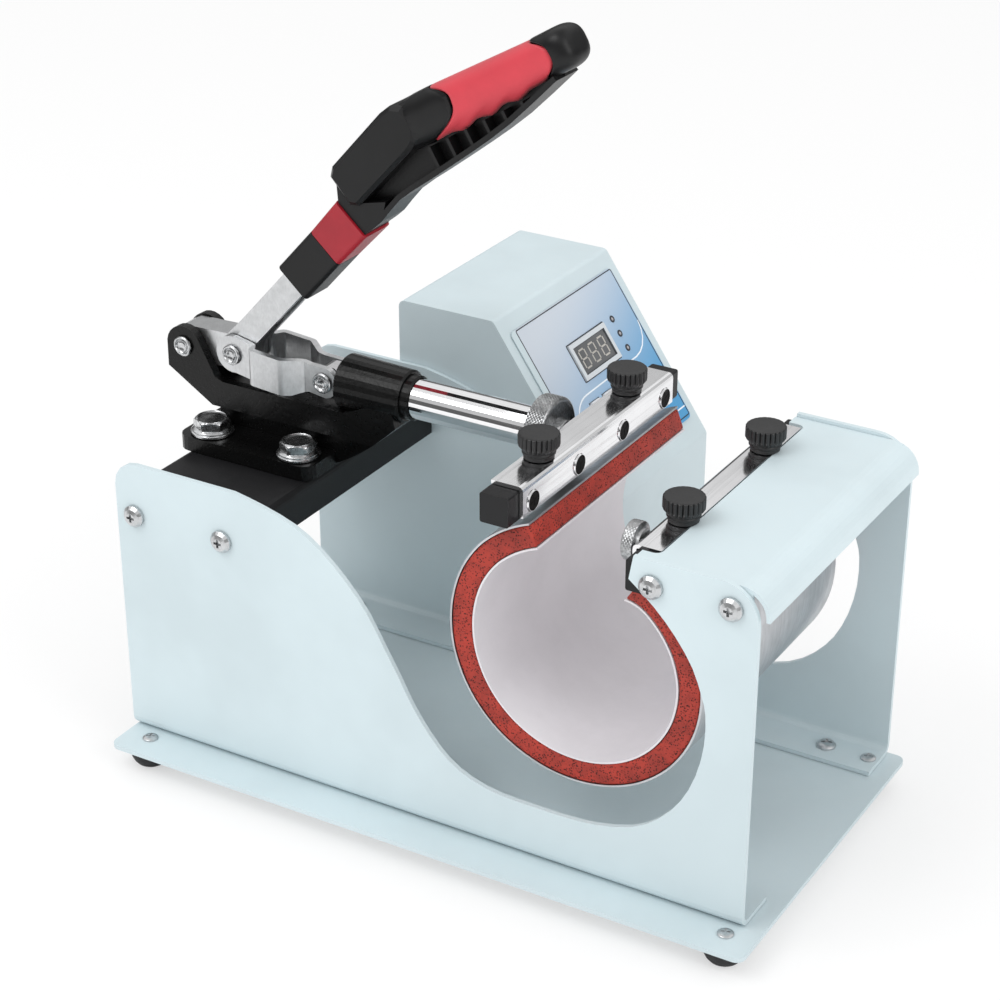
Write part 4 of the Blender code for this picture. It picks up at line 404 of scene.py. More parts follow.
def moulded(name, colour, roughness, scale=1500.0, depth=0.00003, sheen=0.0, other=0.78, gloss=0.5,
            dust=0.03):
    """Plastic or rubber with a fine grain, a colour that wanders a little, and dust."""
    made, tree, shader = new_material(name)
    settled = effect(tree, dust_group, {"Amount": dust})
    colours = mixed(tree, settled.outputs["Mask"], drifting(tree, colour, other, 40.0), PLASTIC_DUST)
    join(tree, colours, shader.inputs["Base Color"])
    fine = effect(tree, grain_group, {"Scale": scale, "Detail": 2.0})
    spread(tree, fine.outputs["Mask"], roughness - 0.05, roughness + 0.12, shader.inputs["Roughness"])
    bump(tree, shader, fine.outputs["Height"], 0.4, depth)
    shader.inputs["Sheen Weight"].default_value = sheen
    shader.inputs["Specular IOR Level"].default_value = gloss
    return made


def numbered(stem):
    """Names of the four like nodes of one kind."""
    return [f"{stem}_{k}" for k in range(1, 5)]


def dress(made, *nodes):
    """Gives carried-over pieces of the frame a material."""
    for name in nodes:
        held = frame["nodes"][name]
        if not held.material_slots:
            held.data.materials.append(made)
        for place in held.material_slots:
            place.material = made


# mesh tools


def finished(name, bm, made, body, smooth=True, sharp=radians(35.0)):
    """Turns a bmesh in the frame's coordinates into a piece that rides on a body."""
    mesh = bpy.data.meshes.new(name)
    bm.to_mesh(mesh)
    bm.free()
    piece = bpy.data.objects.new(name, mesh)
    bpy.context.scene.collection.objects.link(piece)
    mesh.materials.append(made)
    if smooth:
        mesh.shade_smooth()
        mesh.set_sharp_from_angle(angle=sharp)
    if body:
        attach(piece, body)
    return piece


def facing(direction):
    """A turn that takes +Z to a direction."""
    return UP.rotation_difference(Vector(direction)).to_matrix().to_4x4()


def turned(bm, profile, place, direction, steps):
    """Spins a profile of (height, radius) pairs round a direction."""
    verts = [bm.verts.new((radius, 0.0, height)) for height, radius in profile]
    edges = [bm.edges.new(pair) for pair in zip(verts, verts[1:])]
    before = set(bm.verts) - set(verts)
    bmesh.ops.spin(bm, geom=verts + edges, cent=(0.0, 0.0, 0.0), axis=(0.0, 0.0, 1.0), angle=tau, steps=steps,
                   use_merge=True, use_normal_flip=False, use_duplicate=False)
    fresh = [v for v in bm.verts if v not in before]
    bmesh.ops.remove_doubles(bm, verts=fresh, dist=1e-6)
    fresh = [v for v in bm.verts if v not in before]
    bmesh.ops.transform(bm, matrix=Matrix.Translation(place) @ facing(direction), verts=fresh)
    bmesh.ops.recalc_face_normals(bm, faces=bm.faces)
    return fresh


def ruffle(verts, place, direction, change):
    """Moves points toward or away from an axis; change takes height, angle and radius."""
    turn = facing(direction)
    back = turn.inverted()
    for vert in verts:
        local = back @ (vert.co - Vector(place))
        radius = Vector((local.x, local.y)).length
        if radius > 1e-6:
            share = change(local.z, atan2(local.y, local.x), radius) / radius
            vert.co = Vector(place) + turn @ Vector((local.x * share, local.y * share, local.z))


def unit(value):
    return min(1.0, max(0.0, value))


def levels(low, high, radius, count):
    """Evenly spaced points of a straight profile."""
    return [(low + (high - low) * k / count, radius) for k in range(count + 1)]


def tooth(turns):
    """A wave of straight ramps between 0 and 1."""
    return 1.0 - abs((turns % 1.0) * 2.0 - 1.0)


def diamond(rows, pitch, depth, low, high):
    """A change for ruffle: two crossing sets of grooves between two heights."""
    def change(height, angle, radius):
        if height < low or height > high:
            return radius
        around = angle / tau * rows
        rise = min(tooth(around + height / pitch), tooth(around - height / pitch))
        return radius - depth * (1.0 - rise)
    return change


def brick(bm, size, matrix):
    made = bmesh.ops.create_cube(bm, size=1.0)
    bmesh.ops.scale(bm, vec=size, verts=made["verts"])
    bmesh.ops.transform(bm, matrix=matrix, verts=made["verts"])


def plus(bm, reach, half, depth, matrix):
    """Closed cross-shaped block."""
    quarter = ((reach, -half), (reach, half), (half, half))
    corners = []
    for k in range(4):
        turn = Matrix.Rotation(k * pi / 2.0, 3, "Z")
        corners += [turn @ Vector((x, y, -depth)) for x, y in quarter]
    low = bm.faces.new([bm.verts.new(corner) for corner in corners])
    made = bmesh.ops.extrude_face_region(bm, geom=[low])
    high = [part for part in made["geom"] if isinstance(part, bmesh.types.BMVert)]
    bmesh.ops.translate(bm, verts=high, vec=(0.0, 0.0, depth * 2.0))
    bmesh.ops.transform(bm, matrix=matrix, verts=[*low.verts, *high])
    bmesh.ops.recalc_face_normals(bm, faces=bm.faces)


def carve(piece, cutter):
    """Cuts one piece with another, and removes the cutter."""
    change = piece.modifiers.new("cut", "BOOLEAN")
    change.operation = "DIFFERENCE"
    change.solver = "EXACT"
    change.object = cutter
    graph = bpy.context.evaluated_depsgraph_get()
    result = bpy.data.meshes.new_from_object(piece.evaluated_get(graph))
    piece.modifiers.clear()
    old = piece.data
    piece.data = result
    bpy.data.meshes.remove(old)
    bpy.data.objects.remove(cutter, do_unlink=True)
    piece.data.shade_smooth()
    piece.data.set_sharp_from_angle(angle=radians(32.0))


def on_slope(down, side, lift):
    return SLOPE_TOP + SLOPE_DOWN * down + Vector((0.0, side, 0.0)) + SLOPE_OUT * lift


def slope_matrix(down, side, lift):
    """Local X runs along the box, local Y up the slope, local Z out of it."""
    across = Vector((0.0, 1.0, 0.0))
    up = -SLOPE_DOWN
    place = on_slope(down, side, lift)
    return Matrix((
        (across.x, up.x, SLOPE_OUT.x, place.x),
        (across.y, up.y, SLOPE_OUT.y, place.y),
        (across.z, up.z, SLOPE_OUT.z, place.z),
        (0.0, 0.0, 0.0, 1.0)))


def line_frame(bm, width, height, corner, line, thickness, matrix):
    """A thin printed line round a rounded rectangle."""
    made = bmesh.ops.create_grid(bm, x_segments=1, y_segments=1, size=0.5)
    bmesh.ops.scale(bm, vec=(width, height, 1.0), verts=made["verts"])
    faces = list({f for v in made["verts"] for f in v.link_faces})
    if corner:
        cut = bmesh.ops.bevel(bm, geom=made["verts"], offset=corner, offset_type="OFFSET", segments=6,
                              profile=0.5, affect="VERTICES", material=-1)
        faces = list({f for v in cut["verts"] for f in v.link_faces})
    inner = bmesh.ops.inset_region(bm, faces=faces, thickness=line, use_boundary=True, use_even_offset=True)
    bmesh.ops.delete(bm, geom=faces, context="FACES")
    ring = inner["faces"]
    grown = bmesh.ops.extrude_face_region(bm, geom=ring)
    top = [v for v in grown["geom"] if isinstance(v, bmesh.types.BMVert)]
    bmesh.ops.translate(bm, vec=(0.0, 0.0, thickness), verts=top)
    verts = list({v for f in ring if f.is_valid for v in f.verts} | set(top))
    bmesh.ops.transform(bm, matrix=matrix, verts=verts)
    bmesh.ops.recalc_face_normals(bm, faces=bm.faces)


# operators


class MUGPRESS_OT_sheet_metal(bpy.types.Operator):
    """Powder coat on the stand, the cover and the control box"""
    bl_idname = "mugpress.sheet_metal"
    bl_label = "Sheet metal"

    def execute(self, context):
        look = settings("sheet_metal_finish")
        coat = coated("Powder coat", look.coat, look.coat_roughness, look.grain)
        dress(coat, "base_plate", "near_side_plate", "far_side_plate", "top_cover", "control_box",
              "box_cover")
        black = coated("Black coat", look.black, 0.44, look.grain * 0.7, 0.80, 0.004, 0.00003, 0.30)
        dress(black, "clamp_bridge", "moving_bar", "fixed_bar")
        return {"FINISHED"}


class MUGPRESS_OT_clamp_metal(bpy.types.Operator):
    """Casting paint, zinc plate, stainless sheet and chrome"""
    bl_idname = "mugpress.clamp_metal"
    bl_label = "Clamp metal"

    def execute(self, context):
        look = settings("metal_finish")
        zinc = plated("Zinc plate", shade(look.zinc, 0.90), 0.30, (1500.0, 1500.0, 500.0), 0.90, 0.00002,
                      220.0)
        dress(zinc, "lever_arm", "link_near", "link_far", "stud", *numbered("bridge_screw"),
              *numbered("post_screw"))
        steel = plated("Stainless sheet", shade(look.steel, 1.18), 0.12, (900.0, 14.0, 900.0), 0.92, 0.000004,
                       24.0)
        dress(steel, "moving_strip", "fixed_strip")
        chrome = plated("Hard chrome", look.chrome, 0.05, (14.0, 900.0, 900.0), 0.94, 0.000003, 30.0)
        dress(chrome, "plunger")
        paint = moulded("Casting paint", look.casting, 0.26, 620.0, 0.00022, 0.0, 0.7, 0.26, 0.0)
        dress(paint, "clamp_base")
        return {"FINISHED"}


class MUGPRESS_OT_mouldings(bpy.types.Operator):
    """Plastic of the grip, the rear fittings and the circuit board"""
    bl_idname = "mugpress.mouldings"
    bl_label = "Mouldings"

    def execute(self, context):
        look = settings("plastic_finish")
        dress(moulded("Red collar", look.red, 0.34, 1500.0, 0.00002, 0.0, 0.86, 0.4), "grip_collar")
        black = moulded("Black moulding", look.black, 0.36, 1600.0, 0.00003, 0.0, 0.8, 0.30, 0.004)
        dress(black, "grip_frame", "grip_socket")
        socket = moulded("Socket moulding", look.black, 0.34, 2200.0, 0.00002, 0.0, 0.8, 0.40, 0.01)
        dress(socket, "power_inlet", "power_switch", "power_rocker")
        board = moulded("Circuit board", (0.02, 0.16, 0.06), 0.45, 600.0, 0.00002)
        dress(board, "circuit_board")
        return {"FINISHED"}


class MUGPRESS_OT_turned_pieces(bpy.types.Operator):
    """Thumb knobs, knurled nuts, riveted pins, clamp bolts and feet"""
    bl_idname = "mugpress.turned_pieces"
    bl_label = "Turned pieces"

    knobs = (("moving_knob_near", (0.03895, -0.07935, 0.1707)),
             ("moving_knob_far", (0.03895, -0.00735, 0.1707)),
             ("fixed_knob_near", (0.10170, -0.07935, 0.1598)),
             ("fixed_knob_far", (0.10170, -0.00735, 0.1598)))

    def stand_in(self, name, bm, made, body, slot, *nodes):
        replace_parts(finished(name, bm, made, body), *nodes)

    def knob(self, look, made, node, place):
        """A fluted head on a narrower neck, with its stud."""
        profile = [(-0.0098, 0.0), (-0.0098, 0.0015), (-0.0094, 0.0019), (0.0, 0.0019), (0.0, 0.0058),
                   (0.0003, 0.0061), (0.0017, 0.0061), (0.0020, 0.0064), (0.0023, 0.0067), (0.0029, 0.0067),
                   (0.0032, 0.0065), (0.0038, 0.0069), (0.0044, 0.0074), (0.0050, 0.0079), (0.0054, 0.0082)]
        profile += levels(0.0057, 0.0096, 0.0083, 6)
        profile += [(0.0100, 0.0082), (0.0103, 0.0079), (0.01045, 0.0074), (0.0105, 0.0066), (0.0105, 0.0)]

        def change(height, angle, radius):
            rise = unit((height - 0.0036) / 0.0016) * unit((0.01042 - height) / 0.0006)
            return radius - look.flute * rise * (1.0 - abs(cos(angle * look.flutes / 2.0)) ** 0.45)

        bm = bmesh.new()
        ruffle(turned(bm, profile, place, UP, look.flutes * 8), place, UP, change)
        self.stand_in(node + "_head", bm, made, node, "black_plastic", node)

    def nuts(self, look, zinc, dull):
        along = Vector((1.0, 0.0, 0.0))
        place = Vector((0.0180, CENTRE_Y, 0.1630))
        profile = [(0.0, 0.0044), (0.0, 0.0122), (0.0003, 0.0130), (0.0008, 0.0147)]
        profile += levels(0.0011, 0.0081, 0.0151, 20)
        profile += [(0.0085, 0.0148), (0.0091, 0.0142), (0.0093, 0.0136), (0.0092, 0.0131), (0.0087, 0.0127),
                    (0.0086, 0.0122), (0.0086, 0.0072), (0.0088, 0.0066), (0.0124, 0.0064), (0.0128, 0.0060),
                    (0.0128, 0.0044), (0.0, 0.0044)]
        bm = bmesh.new()
        ruffle(turned(bm, profile, place, along, look.rows * 4), place, along,
               diamond(look.rows, look.pitch, look.knurl, 0.0010, 0.0082))
        self.stand_in("adjusting_nut_knurled", bm, zinc, "adjusting_nut", "zinc", "adjusting_nut")

        place = Vector((0.0935, -0.09535, 0.1552))
        profile = [(-0.0080, 0.0), (-0.0080, 0.0022), (0.0, 0.0022), (0.0, 0.0054), (0.0010, 0.0056),
                   (0.0012, 0.0070), (0.0015, 0.0078)]
        profile += levels(0.0018, 0.0057, 0.0081, 12)
        profile += [(0.0060, 0.0077), (0.0062, 0.0070), (0.0060, 0.0064), (0.0061, 0.0050), (0.0066, 0.0042),
                    (0.0067, 0.0024), (0.0080, 0.0023), (0.0083, 0.0017), (0.0083, 0.0)]
        bm = bmesh.new()
        around = look.rows * 3 // 5
        ruffle(turned(bm, profile, place, -along, around * 4), place, -along,
               diamond(around, 0.0013, look.knurl * 0.8, 0.0017, 0.0058))
        self.stand_in("stop_nut_knurled", bm, dull, "stop_nut", "zinc", "stop_nut")

    def rivet(self, base, way):
        """Profile points of a riveted head: a raised rim, a groove and a dimpled middle."""
        shape = ((0.0, 0.0030), (0.0, 0.0042), (0.0004, 0.0045), (0.0009, 0.0044), (0.0012, 0.0040),
                 (0.0012, 0.0036), (0.0006, 0.0033), (0.0003, 0.0029), (0.0004, 0.0026), (0.0010, 0.0023),
                 (0.0012, 0.0018), (0.0008, 0.0010), (0.0007, 0.0))
        return [(base + way * rise, radius) for rise, radius in (shape if way > 0 else shape[::-1])]

    def pins(self, made, steps):
        across = Vector((0.0, 1.0, 0.0))
        for node, x, z, base in (("rear_pin", -0.1504, 0.1658, 0.0107),
                                 ("link_pin", -0.1259, 0.1666, 0.0093)):
            bm = bmesh.new()
            turned(bm, self.rivet(-base, -1) + self.rivet(base, 1), Vector((x, CENTRE_Y, z)), across, steps)
            self.stand_in(node + "_riveted", bm, made, "lever", "zinc", node)
        bm = bmesh.new()
        for side in (-1.0, 1.0):
            turned(bm, [(0.0043, 0.0), (0.0043, 0.0030)] + self.rivet(0.0073, 1),
                   Vector((-0.0813, CENTRE_Y, 0.1630)), across * side, steps)
        self.stand_in("front_pins_riveted", bm, made, "links", "zinc", "front_pin_near", "front_pin_far")

    def bolts(self, made):
        """Flange bolts with a cupped hexagon head, a washer and a shank."""
        flats = 0.0070
        profile = [(-0.0188, 0.0), (-0.0188, 0.0033), (-0.0181, 0.0040), (0.0, 0.0040), (0.0, 0.0092),
                   (0.0002, 0.0094), (0.0010, 0.0094), (0.0012, 0.0092), (0.0013, 0.0087), (0.0018, 0.0087),
                   (0.0021, 0.0083), (0.0025, 0.0078), (0.0027, 0.0082), (0.0050, 0.0082), (0.0057, 0.0079),
                   (0.0062, 0.0074), (0.0066, 0.0068), (0.0067, 0.0062), (0.0063, 0.0058), (0.0061, 0.0050),
                   (0.0062, 0.0030), (0.0061, 0.0)]

        def change(height, angle, radius):
            if height < 0.0026:
                return radius
            return min(radius, flats / cos((angle + pi / 6.0) % (pi / 3.0) - pi / 6.0))

        bm = bmesh.new()
        for x in (-0.1323, -0.0878):
            for y in (-0.06055, -0.02615):
                place = Vector((x, y, 0.1327))
                ruffle(turned(bm, profile, place, UP, 72), place, UP, change)
        self.stand_in("clamp_bolts_cupped", bm, made, "frame", "zinc", *numbered("clamp_bolt"))

    def feet(self, made):
        """Bowl-shaped rubber feet."""
        profile = [(0.0, 0.0), (0.0, 0.0087), (0.0004, 0.0092), (0.0024, 0.0091), (0.0048, 0.0085),
                   (0.0068, 0.0076), (0.0083, 0.0064), (0.0092, 0.0051), (0.0097, 0.0037), (0.0097, 0.0017),
                   (0.0086, 0.0014), (0.0086, 0.0)]
        bm = bmesh.new()
        for x in (-0.1283, 0.1467):
            for y in (-0.12135, 0.01765):
                turned(bm, profile, Vector((x, y, 0.0097)), DOWN, 48)
        self.stand_in("rubber_feet", bm, made, "frame", "rubber", *numbered("rubber_foot"))

    def execute(self, context):
        look = settings("turned_form")
        metal = settings("metal_finish")
        plastic = settings("plastic_finish")
        black = moulded("Knob moulding", shade(plastic.black, 1.5), 0.42, 1300.0, 0.00004, 0.0, 0.8, 0.62,
                        0.02)
        for node, place in self.knobs:
            self.knob(look, black, node, Vector(place))
        lines = (300.0, 900.0, 900.0)
        bright = plated("Knurled zinc", shade(metal.zinc, 0.74), 0.30, lines, 0.55, 0.00006, 900.0)
        dull = plated("Dull nickel", shade(metal.zinc, 0.80), 0.34, lines, 0.62, 0.00005, 700.0)
        self.nuts(look, bright, dull)
        turned_zinc = plated("Turned zinc", metal.zinc, 0.20, (500.0, 500.0, 500.0), 0.70, 0.00003, 420.0)
        self.pins(turned_zinc, 48)
        self.bolts(turned_zinc)
        self.feet(moulded("Foot rubber", plastic.rubber, 0.55, 900.0, 0.00004, 0.0, 0.8, 0.35, 0.02))
        return {"FINISHED"}


class MUGPRESS_OT_grip_cover(bpy.types.Operator):
    """Soft red cover round the upper bar of the grip"""
    bl_idname = "mugpress.grip_cover"
    bl_label = "Grip cover"

    # where the grip's axis starts in X and Z, and how it leans
    axis = Vector((-0.0296, 0.2860))
    lean = radians(31.3)
    # how far the cover's ends bow along the axis: evenly, toward the top, and at the sides
    rear_bow = (0.0012, 0.0044, 0.0160)
    front_bow = (-0.0005, -0.0005, 0.0095)
    # half height and half width of the cover at each end
    rear_size = (0.0101, 0.0112)
    front_size = (0.0082, 0.0098)
    squareness = 0.72
    groove_start = 0.008
    cap_round = 0.0075
    cap_reach = 0.0176

    def wrap(self, bm, rows, around, gap, section):
        """Bends a grid round the grip; section takes a share of the way and an upward share of a turn."""
        made = bmesh.ops.create_grid(bm, x_segments=around, y_segments=rows, size=0.5)
        for vert in made["verts"]:
            angle = gap + (tau - gap * 2.0) * (vert.co.x + 0.5)
            up, over = -cos(angle), sin(angle)
            run, half, width = section(vert.co.y + 0.5, up, over)
            rise = half * abs(up) ** self.squareness * (1.0 if up >= 0.0 else -1.0)
            side = width * abs(over) ** self.squareness * (1.0 if over >= 0.0 else -1.0)
            vert.co = Vector((self.axis.x + run * cos(self.lean) - rise * sin(self.lean), CENTRE_Y + side,
                              self.axis.y + run * sin(self.lean) + rise * cos(self.lean)))
        bmesh.ops.remove_doubles(bm, verts=made["verts"], dist=1e-6)

    def bent(self, bow, up, over):
        return bow[0] + bow[1] * up + bow[2] * over * over

    def execute(self, context):
        look = settings("cover_form")
        plastic = settings("plastic_finish")
        long = look.length

        def cover(share, up, over):
            end = min(share, 1.0 - share) * long
            soft = 0.0009 * max(0.0, 1.0 - end / 0.0016) ** 2
            half, width = (rear + (front - rear) * share - soft
                           for rear, front in zip(self.rear_size, self.front_size))
            run = share * long
            past = run - self.groove_start
            if 0.0 < past < look.pitch * 3.0 and up < 0.0:
                half += look.wave * (0.5 - 0.5 * cos(tau * past / look.pitch)) * up * up
            run += self.bent(self.rear_bow, up, over) * (1.0 - share)
            run += self.bent(self.front_bow, up, over) * share
            return run, half, width

        def shoulder(share, up, over):
            soft = 0.0005 * max(0.0, 1.0 - (1.0 - share) / 0.2) ** 2
            soft += 0.0002 * max(0.0, 1.0 - share / 0.2)
            near = self.bent(self.rear_bow, up, over) - 0.0005
            return -0.0050 * (1.0 - share) + near * share, 0.01022 - soft, 0.01132 - soft

        def cap(share, up, over):
            start = long + self.bent(self.front_bow, up, over) + 0.0004
            end = long + self.cap_reach
            flat = min(1.0, share / 0.42)
            curve = max(0.0, (share - 0.42) / 0.58)
            round_share = max(0.0, cos(curve * pi / 2.0)) ** 0.5
            run = start + (end - self.cap_round - start) * flat + self.cap_round * sin(curve * pi / 2.0)
            soft = 0.0003 * max(0.0, 1.0 - share / 0.06) ** 2
            return run, 0.0085 * round_share - soft, 0.0101 * round_share - soft

        bm = bmesh.new()
        self.wrap(bm, 72, 80, radians(10.0), cover)
        bmesh.ops.recalc_face_normals(bm, faces=bm.faces)
        bmesh.ops.solidify(bm, geom=bm.faces[:], thickness=look.wall)
        made = moulded("Soft red", plastic.soft_red, 0.42, 1100.0, 0.00003, 0.10, 0.90, 0.45, 0.01)
        piece = finished("grip_soft_cover", bm, made, "lever", True, radians(50.0))
        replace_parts(piece, "grip_sleeve")
        bm = bmesh.new()
        self.wrap(bm, 10, 80, 0.0, shoulder)
        self.wrap(bm, 30, 80, 0.0, cap)
        bmesh.ops.recalc_face_normals(bm, faces=bm.faces)
        black = frame["nodes"]["grip_frame"].data.materials[0]
        finished("grip_round_skins", bm, black, "lever", True, radians(50.0))
        return {"FINISHED"}


class MUGPRESS_OT_heater_mat(bpy.types.Operator):
    """Silicone sponge ring with its smooth liner and thin outer band"""
    bl_idname = "mugpress.heater_mat"
    bl_label = "Heater mat"

    # angle in degrees and radius of the middle line, from the free end to the fixed end
    path = ((111.0, 0.0511), (123.0, 0.0513), (137.0, 0.0515), (152.0, 0.0511), (165.0, 0.0505),
            (180.0, 0.0500), (200.0, 0.0497), (225.0, 0.0497), (250.0, 0.0498), (275.0, 0.0503),
            (300.0, 0.0508), (320.0, 0.0508), (340.0, 0.0505), (360.0, 0.0498), (377.0, 0.0487),
            (397.0, 0.0470), (405.0, 0.0463), (411.0, 0.0450), (416.0, 0.0433))
    centre = Vector((0.0697, CENTRE_Y, 0.1032))
    mean_radius = 0.05
    half_width = 0.0620

    def radius(self, angle):
        for (a, low), (b, high) in zip(self.path, self.path[1:]):
            if angle <= b:
                share = max(0.0, (angle - a) / (b - a))
                return low + (high - low) * share
        return self.path[-1][1]

    def layer(self, name, made, slot, inner, outer, edge, node):
        """Spins a flat strip round the mug's axis and bends it to the mat's outline."""
        look = settings("mat_form")
        first, last = self.path[0][0], self.path[-1][0]
        bm = bmesh.new()
        mean, half = self.mean_radius, self.half_width
        corners = [bm.verts.new((mean + distance, y, 0.0)) for distance, y in (
            (inner, -half), (outer, -half), (outer, half), (inner, half))]
        face = bm.faces.new(corners)
        bmesh.ops.rotate(bm, verts=corners, cent=(0.0, 0.0, 0.0),
                         matrix=Matrix.Rotation(-radians(first), 3, "Y"))
        bmesh.ops.spin(bm, geom=[face, *face.edges, *corners], cent=(0.0, 0.0, 0.0), axis=(0.0, -1.0, 0.0),
                       angle=radians(last - first), steps=look.steps, use_merge=False, use_duplicate=False,
                       use_normal_flip=False)
        bmesh.ops.remove_doubles(bm, verts=bm.verts, dist=1e-7)
        for vert in bm.verts:
            flat = Vector((vert.co.x, 0.0, vert.co.z))
            angle = (Vector((flat.x, flat.z)).angle_signed(Vector((1.0, 0.0))) * 180.0 / pi) % 360.0
            if angle < first - 20.0:
                angle += 360.0
            away = flat.length - mean + self.radius(angle)
            vert.co = Vector((flat.x, 0.0, flat.z)).normalized() * away + Vector((0.0, vert.co.y, 0.0))
        bmesh.ops.translate(bm, verts=bm.verts, vec=self.centre)
        bmesh.ops.recalc_face_normals(bm, faces=bm.faces)
        if edge:
            sharp = [e for e in bm.edges if e.calc_face_angle(0.0) > radians(40.0)]
            bmesh.ops.bevel(bm, geom=sharp, offset=edge, offset_type="OFFSET", segments=3, profile=0.5,
                            affect="EDGES", clamp_overlap=True, material=-1)
        piece = finished(name, bm, made, None)
        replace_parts(piece, node)
        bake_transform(piece)

    def execute(self, context):
        look = settings("mat_form")
        sponge, tree, shader = new_material("Silicone sponge")
        pores = effect(tree, pore_group, {"Scale": 1050.0, "Share": 0.42})
        colours = mixed(tree, pores.outputs["Mask"], drifting(tree, look.sponge, 0.72, 120.0), look.speck)
        join(tree, colours, shader.inputs["Base Color"])
        spread(tree, pores.outputs["Mask"], 0.62, 0.9, shader.inputs["Roughness"])
        bump(tree, shader, pores.outputs["Height"], 0.7, 0.00025)
        liner = moulded("Mat liner", look.liner, 0.38, 700.0, 0.00003, 0.0, 0.96)
        band = plated("Mat band", (0.60, 0.61, 0.63), 0.34, (90.0, 900.0, 90.0), 0.84)
        self.layer("mat_sponge_ring", sponge, "silicone", -0.0045, 0.0045, look.edge, "mat_sponge")
        self.layer("mat_liner_film", liner, "liner", -0.0055, -0.0047, 0.0, "mat_liner")
        self.layer("mat_outer_band", band, "band", 0.0047, 0.0055, 0.0, "mat_band")
        return {"FINISHED"}


